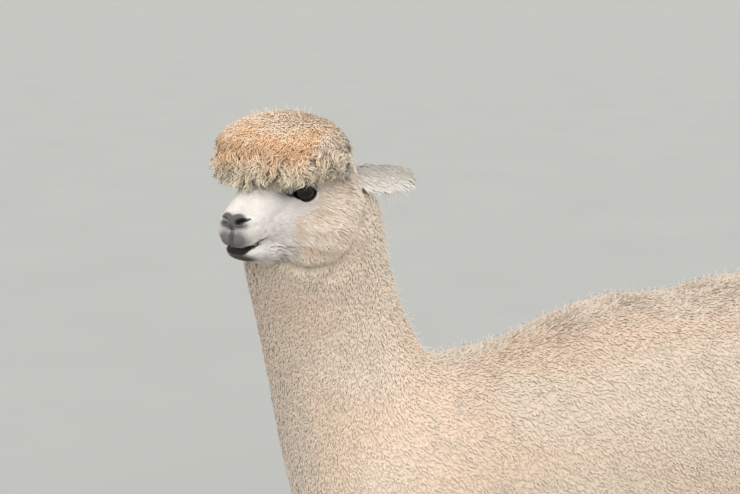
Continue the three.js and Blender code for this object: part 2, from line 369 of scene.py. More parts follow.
@dataclass(frozen=True)
class FleeceFinish:
    """Wool or hair on tufts.

    Attributes:
        name: the material's name.
        grain: strands for each metre across a tuft.
        mottle: how far the colour wanders.
        relief: the strands' depth.
        soft: the sheen of fine fibre.
    """

    name: str
    grain: float = 900.0
    mottle: float = 0.1
    relief: float = 0.00025
    soft: float = 0.35

    def material(self) -> bpy.types.Material:
        """The finish's nodes."""
        s = Shader(
            self.name, Roughness=0.9, Sheen_Weight=self.soft, Sheen_Roughness=0.5, Specular_IOR_Level=0.15
        )
        strands = s.noise(self.grain, 2.0, (1.0, 1.0, 0.28))
        patches = s.noise(60.0, 4.0)
        dim = 0.55 * (1.0 - strands.step(0.3, 0.7)) + 0.45 * patches.step(0.35, 0.75)
        shade = 1.0 - self.mottle * dim
        dull = s.node("CombineColor", Red=shade, Green=shade ** 1.12, Blue=shade ** 1.3)
        s.set(Base_Color=s.mix(1.0, s.tint(), dull, "MULTIPLY"))
        s.set(Roughness=0.82 + 0.15 * patches)
        s.bump(strands, self.relief)
        return s.material


@dataclass(frozen=True)
class HideFinish:
    """The skin: short hair where it shows, leather on the nose and lips.

    Attributes:
        name: the material's name.
        hair: hairs for each metre.
        relief: their depth.
    """

    name: str
    hair: float = 1300.0
    relief: float = 0.0007

    def material(self) -> bpy.types.Material:
        """The finish's nodes, with leather where the attribute bare is 1."""
        s = Shader(self.name, Roughness=0.85, Sheen_Weight=0.15, Specular_IOR_Level=0.25)
        bare = s.node("Attribute", "Fac", {"attribute_name": "bare"})
        hairs = s.noise(self.hair, 3.0, (1.0, 1.0, 0.4))
        pebble = s.node("TexVoronoi", "Distance", Vector=s.where(), Scale=900.0)
        patches = s.noise(70.0, 4.0)
        shade = 1.0 - (1.0 - bare) * 0.1 * hairs.step(0.35, 0.7) - 0.06 * patches.step(0.4, 0.7)
        grey = s.node("CombineColor", Red=shade, Green=shade, Blue=shade)
        s.set(Base_Color=s.mix(1.0, s.tint(), grey, "MULTIPLY"))
        s.set(Roughness=0.88 - 0.38 * bare + 0.1 * patches)
        s.bump(hairs * (1.0 - bare) + pebble * bare * 0.6, self.relief)
        return s.material


@dataclass(frozen=True)
class EyeFinish:
    """A dark, wet eye with a level pupil.

    Attributes:
        name: the material's name.
        middle: the eyeball's centre.
        axis: where it looks.
    """

    name: str
    middle: Array
    axis: Array

    def material(self) -> bpy.types.Material:
        """The finish's nodes, drawn by direction from the eyeball's centre."""
        wet = {"Coat_Weight": 0.3, "Coat_Roughness": 0.02, "Coat_IOR": 1.4}
        s = Shader(self.name, Roughness=0.1, Specular_IOR_Level=0.25, **wet)
        across = np.cross(UP, self.axis)
        rel = s.node("VectorMath", "Vector", {"operation": "SUBTRACT"}, Vector=s.where())
        rel.socket.node.inputs[1].default_value = tuple(self.middle)
        parts = []
        for way in (across, np.cross(self.axis, across)):
            dot = s.node("VectorMath", "Value", {"operation": "DOT_PRODUCT"}, Vector=rel)
            dot.socket.node.inputs[1].default_value = tuple(way / 0.02)
            parts.append(dot)
        wide, high = parts
        from_middle = (wide * wide + high * high) ** 0.5
        pupil = ((wide / 0.5) ** 2.0 + (high / 0.26) ** 2.0) ** 0.5
        rays = s.noise(420.0, 2.0)
        iris = s.mix(rays, (0.005, 0.003, 0.002), (0.022, 0.011, 0.006))
        rim = s.mix(from_middle.step(0.58, 0.72), iris, (0.003, 0.002, 0.002))
        white = s.mix(from_middle.step(0.9, 1.0), rim, (0.03, 0.02, 0.015))
        s.set(Base_Color=s.mix(1.0 - pupil.step(0.85, 1.05), white, (0.001, 0.001, 0.0015)))
        return s.material


@dataclass(frozen=True)
class HornFinish:
    """Nails of dark horn, with growth lines.

    Attributes:
        name: the material's name.
        dark: the colour low down.
        pale: the colour at the root.
    """

    name: str
    dark: Sequence[float] = (0.02, 0.016, 0.013)
    pale: Sequence[float] = (0.13, 0.1, 0.075)

    def material(self) -> bpy.types.Material:
        """The finish's nodes."""
        s = Shader(self.name, Roughness=0.45, Specular_IOR_Level=0.4)
        lines = s.noise(500.0, 3.0, (0.25, 0.9, 1.0))
        height = s.node("SeparateXYZ", "Z", Vector=s.where())
        s.set(Base_Color=s.mix((height * 26.0 + lines * 0.7).step(0.1, 1.2), self.dark, self.pale))
        s.set(Roughness=0.4 + 0.3 * lines)
        s.bump(lines, 0.0005)
        return s.material


@dataclass(frozen=True)
class PlainFinish:
    """An even, faintly mottled finish.

    Attributes:
        name: the material's name.
        tone: its colour.
        rough: its roughness.
        grain: the mottle's scale.
    """

    name: str
    tone: Sequence[float]
    rough: float = 0.8
    grain: float = 3.0

    def material(self) -> bpy.types.Material:
        """The finish's nodes."""
        s = Shader(self.name, Roughness=self.rough)
        spots = s.noise(self.grain, 4.0)
        low = tuple(0.9 * c for c in self.tone)
        s.set(Base_Color=s.mix(spots, low, self.tone), Roughness=self.rough - 0.08 + 0.12 * spots)
        return s.material


# ------------------------------------------------------------------ meshes from arrays


def new_object(name: str, mesh: bpy.types.Mesh) -> bpy.types.Object:
    """Links a mesh into the scene."""
    obj = bpy.data.objects.new(name, mesh)
    bpy.context.scene.collection.objects.link(obj)
    return obj


def new_mesh(name: str, points: Array, faces: Array) -> bpy.types.Mesh:
    """A smooth mesh of triangles.

    Args:
        name: its name.
        points: the vertices.
        faces: three indices for each triangle.
    """
    mesh = bpy.data.meshes.new(name)
    mesh.vertices.add(len(points))
    mesh.vertices.foreach_set("co", points.astype(np.float32).ravel())
    mesh.loops.add(faces.size)
    mesh.loops.foreach_set("vertex_index", faces.astype(np.int32).ravel())
    mesh.polygons.add(len(faces))
    mesh.polygons.foreach_set("loop_start", np.arange(0, faces.size, 3, dtype=np.int32))
    mesh.polygons.foreach_set("use_smooth", np.ones(len(faces), bool))
    mesh.update(calc_edges=True)
    return mesh


def paint(mesh: bpy.types.Mesh, tint: Array) -> None:
    """Stores the markings on a mesh's vertices."""
    layer = mesh.color_attributes.new("tint", "FLOAT_COLOR", "POINT")
    rgba = np.ones((len(tint), 4), np.float32)
    rgba[:, :3] = tint
    layer.data.foreach_set("color", rgba.ravel())


class Skin:
    """A closed surface as arrays, with helpers to walk over it."""

    def __init__(self, points: Array, faces: Array) -> None:
        """Keeps the vertices and the triangles, and sorts out who is next to whom."""
        self.points = points
        self.faces = faces
        pairs = np.concatenate([faces[:, [0, 1]], faces[:, [1, 2]], faces[:, [2, 0]]])
        pairs = np.unique(np.concatenate([pairs, pairs[:, ::-1]]), axis=0)
        self.near = pairs[:, 1]
        self.first = np.searchsorted(pairs[:, 0], np.arange(len(points)))
        self.count = np.bincount(pairs[:, 0], minlength=len(points))

    @classmethod
    def of(cls, mesh: bpy.types.Mesh) -> "Skin":
        """A mesh's triangles, without loose vertices."""
        mesh.calc_loop_triangles()
        points = np.empty(len(mesh.vertices) * 3, np.float32)
        mesh.vertices.foreach_get("co", points)
        faces = np.empty(len(mesh.loop_triangles) * 3, np.int32)
        mesh.loop_triangles.foreach_get("vertices", faces)
        used, faces = np.unique(faces, return_inverse=True)
        return cls(points.reshape(-1, 3)[used].astype(float), faces.reshape(-1, 3))

    def face_normals(self) -> Array:
        """Each triangle's normal, as long as twice its area."""
        a, b, c = (self.points[self.faces[:, k]] for k in range(3))
        return np.cross(b - a, c - a)

    def normals(self) -> Array:
        """Each vertex's normal."""
        cross = self.face_normals()
        total = np.zeros_like(self.points)
        for k in range(3):
            for axis in range(3):
                total[:, axis] += np.bincount(self.faces[:, k], cross[:, axis], len(self.points))
        return unit(total)

    def even(self, values: Array, times: int, keep: float = 0.0) -> Array:
        """Values smoothed over the surface.

        Args:
            values: one row for each vertex.
            times: how many rounds.
            keep: the share that stays in each round.
        """
        count = self.count.reshape((-1,) + (1,) * (values.ndim - 1))
        for _ in range(times):
            mean = np.add.reduceat(values[self.near], self.first, axis=0) / count
            values = values * keep + mean * (1 - keep)
        return values


# ------------------------------------------------------------------ what grows where


class Zone(Enum):
    """A part of the coat, by how its wool or hair grows."""

    BODY = 0
    NECK = 1
    LEG = 2
    FOOT = 3
    TAIL = 4
    CHEEK = 5
    FACE = 6
    MUZZLE = 7
    BARE = 8
    CURLS = 9
    CROWN = 10
    EAR = 11


@dataclass(frozen=True)
class Growth:
    """How one zone grows, in millimetres and degrees.

    Attributes:
        depth: from the skin to the coat's outline.
        length: a tuft's length.
        width: its half width.
        spacing: between roots.
        lift: how far it stands off the skin.
        curl: the radius of its curl.
        dark: how much darker it is painted at the root, as painted shade in the crevices between tufts.
        lock: between the locks that the tufts gather into.
        part: how far those locks stand apart, as a share.
    """

    depth: float
    length: float
    width: float
    spacing: float
    lift: float
    curl: float = 0.4
    dark: float = 0.3
    lock: float = 8.0
    part: float = 0.3


GROWTH = {
    Zone.BODY: Growth(3.4, 12, 2.35, 3.96, 12.5, 0.5, 0.02, 9, 0.15),
    Zone.NECK: Growth(3.6, 12, 1.85, 2.95, 14, 0.5, 0.02, 8, 0.15),
    Zone.LEG: Growth(4.5, 14, 2.05, 4.4, 13.5, 0.6, 0.03, 10, 0.15),
    Zone.FOOT: Growth(2.5, 7, 1.3, 3.2, 20, 0.2, 0.15, 6, 0.2),
    Zone.TAIL: Growth(14, 32, 1.9, 4.0, 20, 1.4, 0.1, 12, 0.35),
    Zone.CHEEK: Growth(4.8, 14, 0.95, 2.2, 17, 0.4, 0.04, 7, 0.15),
    Zone.FACE: Growth(2.2, 7, 0.5, 1.75, 12, 0.1, 0.04, 5, 0.2),
    Zone.MUZZLE: Growth(1.2, 4, 0.36, 1.5, 10, 0.0, 0.03, 4, 0.1),
    Zone.BARE: Growth(0.3, 1.5, 0.4, 9.0, 10, 0.0, 0.1, 4, 0.0),
    Zone.CURLS: Growth(14, 26, 1.2, 2.6, 40, 3.6, 0.2, 11, 1.0),
    Zone.CROWN: Growth(5, 11, 1.1, 1.95, 22, 0.8, 0.03, 6, 0.12),
    Zone.EAR: Growth(2.0, 10, 0.7, 2.1, 14, 0.4, 0.05, 6, 0.2),
}
FIELDS = ("depth", "length", "width", "spacing", "lift", "curl", "dark", "lock", "part")
SIGNS = {"left": 1.0, "right": -1.0}
SIDES = tuple(SIGNS)
ENDS = ("fore", "hind")
LEGS = tuple(f"{end}_{part}_{side}" for end in ENDS for part in ("leg", "shank") for side in SIDES)
FEET = tuple(f"{end}_foot_{side}" for end in ENDS for side in SIDES)
FLESH = ("trunk", "neck", "head", "lower_jaw", "topknot", "tail") + LEGS + FEET
NODE_ZONE = {
    "trunk": Zone.BODY,
    "neck": Zone.NECK,
    "head": Zone.FACE,
    "lower_jaw": Zone.FACE,
    "topknot": Zone.CURLS,
    "tail": Zone.TAIL,
    **{name: Zone.LEG for name in LEGS},
    **{name: Zone.FOOT for name in FEET},
}


@dataclass(frozen=True)
class FaceMap:
    """Where the face's features lie, in the head's millimetres; the right side mirrors the left.

    Attributes:
        mouth: the mouth's line, from the middle to its corner.
        lip: how far to the side, and how deep the black lower lip is there.
        cleft: the split of the upper lip.
        wing: the groove between the nose and the lip.
        nostril: the nostril's middle.
        slot: the way its slit runs, outwards.
        hole: its half sizes along its slit, across it, and inwards.
        ruff: heights, and how far forward the long cheek wool reaches there.
        eye: an eyeball's middle.
        tear: the dark inner corner of the eye, ahead of the eyeball and up.
        duct: the shallow groove that runs down from it.
        fold: the fold behind the cheek wool.
        throat: its run below the jaw.
    """

    mouth: tuple = (
        (118, 0, -71.5), (116, 9, -73), (109, 16.5, -73), (96, 21.5, -71), (86, 24.5, -68), (76, 29, -61.5)
    )
    lip: tuple = ((0, 9, 16, 21, 25, 29), (13.5, 12.5, 9.5, 6.5, 3.0, 1.0))
    cleft: tuple = ((118, 0, -42), (120, 0, -55), (118, 0, -71))
    wing: tuple = ((120, 3, -47), (113, 20, -44), (101, 32, -40))
    nostril: tuple = (112.5, 17, -32)
    slot: tuple = (-0.38, 0.9, 0.2)
    hole: tuple = (12.0, 4.8, 8.0)
    ruff: tuple = ((-118, -104, -70, -42, -8, 8), (50, 36, 30, 29, 0, -12))
    eye: tuple = (3, 46, 0)
    tear: tuple = ((15, 0.0), (24, 0.5), (30.5, 1.5))
    duct: tuple = ((30, 47, -8), (46, 42, -20), (66, 38, -32))
    fold: tuple = ((-110, 89, -48), (-76, 100, -66), (-54, 92, -97), (-43, 83, -117), (-33, 75, -134))
    throat: tuple = ((-43, 83, -117), (-9, 65, -121), (13, 47, -117), (31, 28, -104))

    def slit(self, local: Array) -> Array:
        """How far places lie from the nostril, as a share of its half sizes."""
        rel = mirrored(local) - np.array(self.nostril)
        long = unit(np.array(self.slot))
        out = np.array([0.9, 0.42, 0.0])
        out = unit(out - long * (out @ long))
        across = np.cross(long, out)
        a, b, c = (rel @ long / self.hole[0], rel @ across / self.hole[1], rel @ out / self.hole[2])
        taper = np.interp(a, (-1, 0.1, 1), (0.85, 1.35, 2.6))
        return np.sqrt(a * a + ((b + 0.1 * a) * taper) ** 2 + c * c)

    def hollow(self, local: Array) -> Array:
        """The painted shade inside the nostril, from 0 to 1."""
        return ease(0.45, 0.75, blob(mirrored(local), (100, 19, -31), (9, 8, 5)))

    def pad(self, local: Array) -> Array:
        """The grey leather of the nose and its cleft."""
        side = mirrored(local)
        nose = blob(side, (118, 3, -33), (14, 15, 13))
        wing = blob(side, (114, 13, -27), (12, 11, 8)) + 0.8 * blob(side, (113, 16, -39), (10, 13, 6))
        split = stripe(local, self.cleft, 5.5)
        pad = ease(0.2, 0.75, nose) + 0.9 * ease(0.25, 0.85, wing) + ease(0.3, 0.9, split)
        return np.clip(pad, 0, 1)

    def above(self, side: Array) -> Array:
        """How far places stand above the mouth's line."""
        line = np.array(self.mouth)
        return side[:, 2] - np.interp(side[:, 1], line[:, 1], line[:, 2])

    def cheek(self, local: Array) -> Array:
        """How far places on the head belong to the long cheek wool, from 0 to 1."""
        return ease(-14, 16, np.interp(local[:, 2], *self.ruff) - local[:, 0])

    def gap(self, side: Array) -> tuple[Array, Array]:
        """How far places lie from the mouth's line, and where along it."""
        chart = np.array([1.0, 0.4, 1.0])
        return path_distance(side * chart, np.array(self.mouth) * chart)

    def lips(self, local: Array) -> tuple[Array, Array]:
        """The grey of the upper lip, and the black of the lower one and of the mouth's line; the lower
        lip's black is its own dark leather with painted shade, and the mouth's line is a painted shadow.
        """
        side = mirrored(local)
        away, share = self.gap(side)
        above = self.above(side)
        front = ease(76, 88, side[:, 0])
        upper = blob(side, (117, 12, -60), (17, 17, 14)) * front
        edge = bell(away, 3.6) * (above > 0) * (1 - 0.7 * share)
        thick = np.interp(side[:, 1], *self.lip)
        # The lower lip is painted black: its own dark leather, with painted shade under the overhanging
        # upper lip.
        low = ease(-2.0, 1.5, above + thick) * (1 - ease(-1.0, 1.0, above)) * front
        # Painted shadow: the mouth's line is painted black, as the gap between the lips falls in shade.
        line = bell(away, np.interp(share, (0, 1), (2.8, 2.6)))
        line = line * (1 - 0.3 * ease(0.9, 1.0, share))
        grey = np.clip(0.9 * ease(0.2, 0.8, upper) + 0.8 * edge, 0, 1)
        return grey, np.clip(low + ease(0.3, 0.8, line), 0, 1)

    def corner(self, side: Array) -> Array:
        """The dark inner corner of the eye, from 0 to 1, tapering to the front."""
        ahead = (side - np.array(self.eye)) @ np.array([0.819, -0.574, 0.0])
        away, share = path_distance(np.stack([ahead, side[:, 2]], -1), self.tear)
        near = ease(0.25, 0.75, bell(away, np.interp(share, (0, 1), (10.0, 5.0))))
        return near * ease(24, 32, side[:, 1]) * (side[:, 0] > 4)

    def crease(self, local: Array) -> Array:
        """How deep places lie in the fold behind and below the cheek wool, from 0 to 1."""
        side = mirrored(local)
        return np.maximum(stripe(side, self.fold, 10.0), 0.8 * stripe(side, self.throat, 9.0))


FACE = FaceMap()
HEAD_ZONES = (Zone.CHEEK, Zone.FACE, Zone.MUZZLE, Zone.BARE)


def held(share: Array, *zones: Zone) -> Array:
    """How much of each place belongs to some of the zones."""
    return share[:, [zone.value for zone in zones]].sum(1)


def laid(ways: Array, normals: Array) -> Array:
    """Directions laid flat on the skin."""
    return unit(ways - (ways * normals).sum(1, keepdims=True) * normals)


class Markings:
    """The animal's colours, told from a place on it, with some painted shade on the face; the skin and the
    coat share them.
    """

    cream = colour(228, 211, 193)
    fawn = colour(240, 222, 204)
    peach = colour(230, 207, 186)
    dusty = colour(214, 198, 180)
    pale = colour(245, 236, 223)
    white = colour(245, 240, 236)
    milk = colour(253, 249, 244)
    ash = colour(172, 167, 164)
    slate = colour(80, 77, 78)
    soot = colour(16, 14, 14)
    chin_dirt_and_shade = colour(58, 53, 42)
    tan = colour(240, 216, 190)
    ginger = colour(238, 198, 160)
    straw = colour(254, 238, 214)
    rust = colour(218, 166, 122)
    earth = colour(134, 108, 80)
    spots = (
        ((30, 56, -50), (6, 9, 16), 0.55),
        ((8, 56, -86), (12, 12, 12), 0.4),
        ((42, 18, -104), (6, 10, 5), 0.9),
        ((2, 52, -112), (9, 14, 6), 0.5),
    )

    def body(self, points: Array) -> Array:
        """The fleece of the trunk, neck, legs and tail."""
        warm = ease(-0.7, 0.9, Ripple(0.16, 3)(points))
        dust = ease(0.1, 1.1, Ripple(0.045, 5)(points) + 0.4 * Ripple(0.4, 6)(points))
        tint = blend(self.cream, self.peach, warm)
        x, y, z = points.T
        tint = blend(tint, self.dusty, 0.55 * dust) * (1 - 0.15 * ease(-0.34, -0.16, y))[:, None]
        tint = blend(tint, self.dusty, 0.4 * ease(0.32, 0.05, z))
        spine = bell(x, 0.075) * ease(0.9, 0.96, z) * ease(-0.2, -0.08, y)
        specks = ease(0.2, 0.8, Ripple(0.008, 9, 24)(points) + 0.6 * Ripple(0.09, 10)(points))
        return blend(tint, self.earth, 0.6 * spine * specks)

    def topknot(self, local: Array) -> Array:
        """The wool of the head's crown and fringe."""
        place = local + 8 * Ripple(45, 12).vectors(local)
        tint = blend(self.straw, self.ginger, ease(52, 72, place[:, 2]))
        tint = blend(tint, self.tan, ease(80, 102, place[:, 2]))
        grey = ease(76, 100, np.abs(place[:, 1]) - 0.3 * place[:, 0])
        tint = blend(tint, self.pale, 0.7 * grey)
        band = ease(104, 86, local[:, 2]), ease(48, 64, local[:, 2])
        warm = ease(0.1, 1.0, Ripple(16, 14, 20)(local)) * band[0] * band[1]
        return blend(tint, self.rust, 0.3 * warm)

    def head(self, local: Array, ruff: Array) -> Array:
        """The face, from its white short hair to the leather of nose and lips, with painted shade at the
        nostrils, the mouth and the chin.

        Args:
            local: places in the head's axes.
            ruff: how far each place belongs to the long cheek wool.
        """
        side = mirrored(local)
        cheek = blend(self.fawn, self.peach, ease(-0.2, 1.1, Ripple(45, 16)(local)))
        tint = blend(self.white, cheek, ruff * 0.9)
        # The head's underside, behind the nose, is blended half way to the dusty tone: darker underneath.
        under = ease(-88, -112, local[:, 2]) * ease(100, 30, local[:, 0])
        tint = blend(tint, self.dusty, 0.5 * under)
        for middle, radii, share in self.spots:
            tint = blend(tint, self.ginger, share * blob(side, middle, radii))
        streak = ease(0.2, 1.0, Ripple(8, 18, 20)(local)) * blob(side, (74, 38, -52), (22, 14, 22))
        tint = blend(tint, self.ash, 0.75 * streak)
        eye = np.array(FACE.eye)
        # Grey round the eye and on the brow: partly the face's own grey hair, partly painted shade in the
        # eye's socket and under the fringe.
        socket = 0.5 * blob(side, eye + [12, 10, -12], (20, 14, 9)) + blob(side, (46, 42, 1), (14, 9, 9))
        tint = blend(tint, self.ash, np.clip(0.85 * socket, 0, 0.85))
        brow = blob(side, (44, 42, 9), (18, 12, 9)) + 0.8 * blob(side, (58, 24, 22), (18, 20, 8))
        tint = blend(tint, self.slate, np.clip(0.6 * brow, 0, 0.6))
        upper, lower = FACE.lips(local)
        muzzle = blob(side, (116, 12, -52), (12, 20, 24))
        tint = blend(tint, self.ash, np.clip(0.7 * muzzle, 0, 0.7))
        # The chin is painted dark olive: partly its own dirty hair, partly painted shade under the lower
        # lip.
        chin = blob(side, (104, 4, -96), (24, 24, 15))
        tint = blend(tint, self.chin_dirt_and_shade, ease(0.15, 0.7, chin) * 0.95)
        tint = blend(tint, self.slate, 0.97 * np.clip(FACE.pad(local) + upper, 0, 1))
        # Painted black: the lower lip (its own dark leather with painted shade), the mouth's line (painted
        # shadow), the nostrils' slits and insides (painted shade in the openings), and the eye's dark
        # inner corner.
        dark = lower + ease(1.25, 0.9, FACE.slit(local)) + FACE.hollow(local) + FACE.corner(side)
        dark = np.clip(dark, 0, 1)
        return blend(tint, self.soot, dark)

    def ear(self, points: Array) -> Array:
        """The ears, pale outside."""
        return blend(self.milk, self.pale, 0.4 * ease(-0.5, 0.8, Ripple(0.03, 20)(points)))


MARKS = Markings()


class Hide:
    """The one skin: the flesh nodes joined, drawn in by the coat's depth, and modelled at the face."""

    def __init__(self, pitch: float = 4.0 * MM, keep: int = 96000, swell: float = 1.2 * MM) -> None:
        """Sets the sizes.

        Args:
            pitch: the size of the cells that join the nodes.
            keep: about how many triangles stay before the face is refined.
            swell: how far each node grows first, so that they meet.
        """
        self.pitch = pitch
        self.keep = keep
        self.swell = swell

    def copies(self, names: Sequence[str], swell: float) -> bpy.types.Mesh:
        """The nodes' meshes in one, welded and swollen a little."""
        bm = bmesh.new()
        for name in names:
            one = bmesh.new()
            one.from_mesh(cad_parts[name].data)
            bmesh.ops.remove_doubles(one, verts=one.verts, dist=1e-6)
            one.normal_update()
            for vert in one.verts:
                vert.co += vert.normal * swell
            part = bpy.data.meshes.new("part")
            one.to_mesh(part)
            one.free()
            bm.from_mesh(part)
            bpy.data.meshes.remove(part)
        mesh = bpy.data.meshes.new("flesh")
        bm.to_mesh(mesh)
        bm.free()
        return mesh

    def applied(
        self, mesh: bpy.types.Mesh, kind: str, group: Optional[Array] = None, **settings: object
    ) -> bpy.types.Mesh:
        """A mesh with one modifier applied.

        Args:
            mesh: what it works on.
            kind: the modifier's type.
            group: a weight for each vertex, for a modifier that reads a vertex group.
            **settings: the modifier's settings.
        """
        obj = new_object("work", mesh)
        if group is not None:
            weights = obj.vertex_groups.new(name="share")
            for index in np.flatnonzero(group > 0.01):
                weights.add([int(index)], float(group[index]), "REPLACE")
            settings["vertex_group"] = "share"
        modifier = obj.modifiers.new("work", kind)
        for key, value in settings.items():
            setattr(modifier, key, value)
        depsgraph = bpy.context.evaluated_depsgraph_get()
        made = bpy.data.meshes.new_from_object(obj.evaluated_get(depsgraph))
        bpy.data.objects.remove(obj)
        bpy.data.meshes.remove(mesh)
        return made

    def refine(self, mesh: bpy.types.Mesh, wanted: Callable[[Array], Array]) -> None:
        """Halves the edges of a mesh where wanted says so of their ends' places on the head."""
        bm = bmesh.new()
        bm.from_mesh(mesh)
        points = np.array([v.co for v in bm.verts])
        chosen = wanted(HEAD.local(points))
        bm.verts.ensure_lookup_table()
        edges = [e for e in bm.edges if chosen[e.verts[0].index] and chosen[e.verts[1].index]]
        bmesh.ops.subdivide_edges(bm, edges=edges, cuts=1, smooth=0.0)
        bmesh.ops.triangulate(bm, faces=bm.faces)
        bm.to_mesh(mesh)
        bm.free()

    def wrapped(self) -> bpy.types.Mesh:
        """The joined outline of the flesh, fine at the head."""
        flesh = self.copies(FLESH, self.swell)
        mesh = self.applied(flesh, "REMESH", mode="VOXEL", voxel_size=self.pitch, use_smooth_shade=True)
        skin = Skin.of(mesh)
        cells = len(skin.faces)
        points = np.empty(len(mesh.vertices) * 3, np.float32)
        mesh.vertices.foreach_get("co", points)
        local = HEAD.local(points.reshape(-1, 3).astype(float))
        body = 1.0 - ease(-60, -20, local[:, 0]) * ease(-150, -125, local[:, 2])
        mesh = self.applied(
            mesh, "DECIMATE", group=body, ratio=min(1.0, self.keep / cells), vertex_group_factor=1.0
        )
        LOG.info("skin: %d cells, %d kept", cells, len(mesh.polygons))
        self.refine(mesh, lambda p: (p[:, 0] > -34) & (p[:, 2] > -122) & (p[:, 2] < 42))
        self.refine(mesh, lambda p: (p[:, 0] > 62) & (p[:, 2] > -112) & (p[:, 2] < 2))
        return mesh

    def nearest(self, points: Array) -> list[str]:
        """The flesh node that each point lies nearest to."""
        places: list[Vector] = []
        faces: list[tuple[int, ...]] = []
        owners: list[str] = []
        for name in FLESH:
            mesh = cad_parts[name].data
            first = len(places)
            places.extend(v.co.copy() for v in mesh.vertices)
            faces.extend(tuple(first + i for i in p.vertices) for p in mesh.polygons)
            owners.extend([name] * len(mesh.polygons))
        tree = BVHTree.FromPolygons(places, faces)
        return [owners[tree.find_nearest(Vector(p))[2]] for p in points]

    def zones(self, skin: Skin, owners: list[str]) -> Array:
        """The share of each zone at each vertex."""
        share = np.zeros((len(skin.points), len(Zone)))
        share[np.arange(len(owners)), [NODE_ZONE[o].value for o in owners]] = 1.0
        local = HEAD.local(skin.points)
        crown = share[:, Zone.CURLS.value] * ease(56, 80, local[:, 2] + 7 * Ripple(40, 22)(local))
        share[:, Zone.CROWN.value] += crown
        share[:, Zone.CURLS.value] -= crown
        face = share[:, Zone.FACE.value].copy()
        cheek = FACE.cheek(local)
        muzzle = ease(58, 88, local[:, 0]) * (1 - cheek)
        share[:, Zone.CHEEK.value] += face * cheek
        share[:, Zone.MUZZLE.value] += face * muzzle
        share[:, Zone.FACE.value] = face * (1 - cheek - muzzle)
        share = skin.even(share, 7)
        upper, lower = FACE.lips(local)
        bare = np.clip(FACE.pad(local) + 0.9 * upper + lower + ease(1.9, 1.4, FACE.slit(local)), 0, 1)
        bare *= ease(60, 75, local[:, 0]) * ease(-130, -110, local[:, 2]) * ease(20, 0, local[:, 2])
        side = mirrored(local)
        from_eye = (side - np.array(FACE.eye) - [6, 9, 0]) * [1, 0.8, 1.35]
        lid = ease(24, 18, np.linalg.norm(from_eye, axis=1))
        bare = np.clip(bare + lid, 0, 1)
        share *= 1 - bare[:, None]
        share[:, Zone.BARE.value] += bare
        return share

    def lies(self, skin: Skin, normals: Array, share: Array) -> Array:
        """The way the coat lies at each vertex, flat on the skin."""
        points, local = skin.points, HEAD.local(skin.points)
        ones = np.ones(len(points))
        side = np.sign(local[:, 1])
        body = np.stack([0.35 * np.sign(points[:, 0]), 0.75 * ones, -0.85 * ones], -1)
        neck_way = unit(HEAD.forward * 0.6 + np.array([0, -0.4, 0]))
        neck = DOWN + 0.75 * (normals @ neck_way)[:, None] * neck_way
        leg = np.stack([0 * ones, 0.25 * ones, -ones], -1)
        foot = np.stack([0 * ones, -0.8 * ones, -0.6 * ones], -1)
        tail = np.stack([0.3 * np.sign(points[:, 0]), 0.2 * ones, -ones], -1)
        cheek = HEAD.forward * -0.62 + DOWN * 0.75
        sweep = ease(40, 70, np.abs(local[:, 1]))[:, None]
        cheek = cheek[None] + sweep * HEAD.forward * -0.3
        face = HEAD.forward[None] * -1.0 + side[:, None] * HEAD.left * 0.5 + DOWN * 0.15
        spread = local - np.array([-34.0, 0.0, 0.0])
        flat = spread[:, :1] * HEAD.forward + spread[:, 1:2] * HEAD.left
        curls = unit(flat) * 0.8 + DOWN * 0.9
        back = local - np.array([-130.0, 0.0, 0.0])
        crown = unit(back[:, :1] * HEAD.forward + back[:, 1:2] * HEAD.left * 1.6)
        ways = {
            Zone.BODY: body, Zone.NECK: neck, Zone.LEG: leg, Zone.FOOT: foot, Zone.TAIL: tail,
            Zone.CHEEK: cheek, Zone.FACE: face, Zone.MUZZLE: face, Zone.BARE: face,
            Zone.CURLS: curls, Zone.CROWN: crown,
        }
        lie = sum(share[:, zone.value][:, None] * unit(way) for zone, way in ways.items())
        return laid(skin.even(lie, 12), normals)

    def modelled(self, skin: Skin) -> Array:
        """The face's forms, as a height along the normal at each vertex, in millimetres."""
        local = HEAD.local(skin.points)
        side = mirrored(local)
        on_head = (local[:, 0] > -40) & (local[:, 2] > -125) & (local[:, 2] < 60)
        away, share = FACE.gap(side)
        above = FACE.above(side)
        groove = np.interp(share, (0, 0.5, 1), (6.0, 5.5, 3.5))
        height = -groove * bell(away, np.interp(share, (0, 1), (2.8, 1.8)))
        height += 1.6 * bell(away - 5.0, 4.0) * (above > 0) * (1 - 0.5 * share)
        lobe, bridge = blob(side, (117, 13, -61), (12, 10, 9)), blob(local, (120, 0, -34), (14, 12, 13))
        height += 3.2 * lobe + 3.6 * bridge
        height -= 3.4 * stripe(local, FACE.cleft, 2.6)
        height -= 2.2 * stripe(side, FACE.wing, 4.5)
        height += 1.6 * blob(side, (106, 8, -80), (9, 14, 5))
        slit = FACE.slit(local)
        height += 2.2 * blob(side, (110, 17, -22), (10, 10, 6)) - 9.0 * ease(1.12, 0.6, slit)
        height += 1.2 * bell(slit - 1.4, 0.4)
        corner = FACE.corner(side)
        duct = stripe(side, FACE.duct, 7.0)
        height -= 2.4 * corner + 1.8 * duct
        bone, hollow = blob(side, (30, 52, -42), (24, 14, 12)), blob(side, (86, 36, -44), (12, 10, 10))
        height += 2.2 * bone - 1.6 * hollow
        height += 1.4 * blob(side, (12, 56, 22), (22, 12, 8))
        return np.where(on_head, height, 0.0)

    def thighs(self, skin: Skin) -> Array:
        """The outline with the creases filled where the legs' wool runs into the trunk's."""
        points = skin.points
        x, z = np.abs(points[:, 0]), points[:, 2]
        part = ease(0.45, 0.53, z) * ease(0.8, 0.68, z) * ease(0.06, 0.11, x)
        normals = unit(skin.even(skin.normals(), 12))
        for _ in range(14):
            out = ((skin.even(points, 14) - points) * normals).sum(1)
            points = points + normals * (1.5 * part * skin.even(np.maximum(out, 0.0), 3))[:, None]
        return points

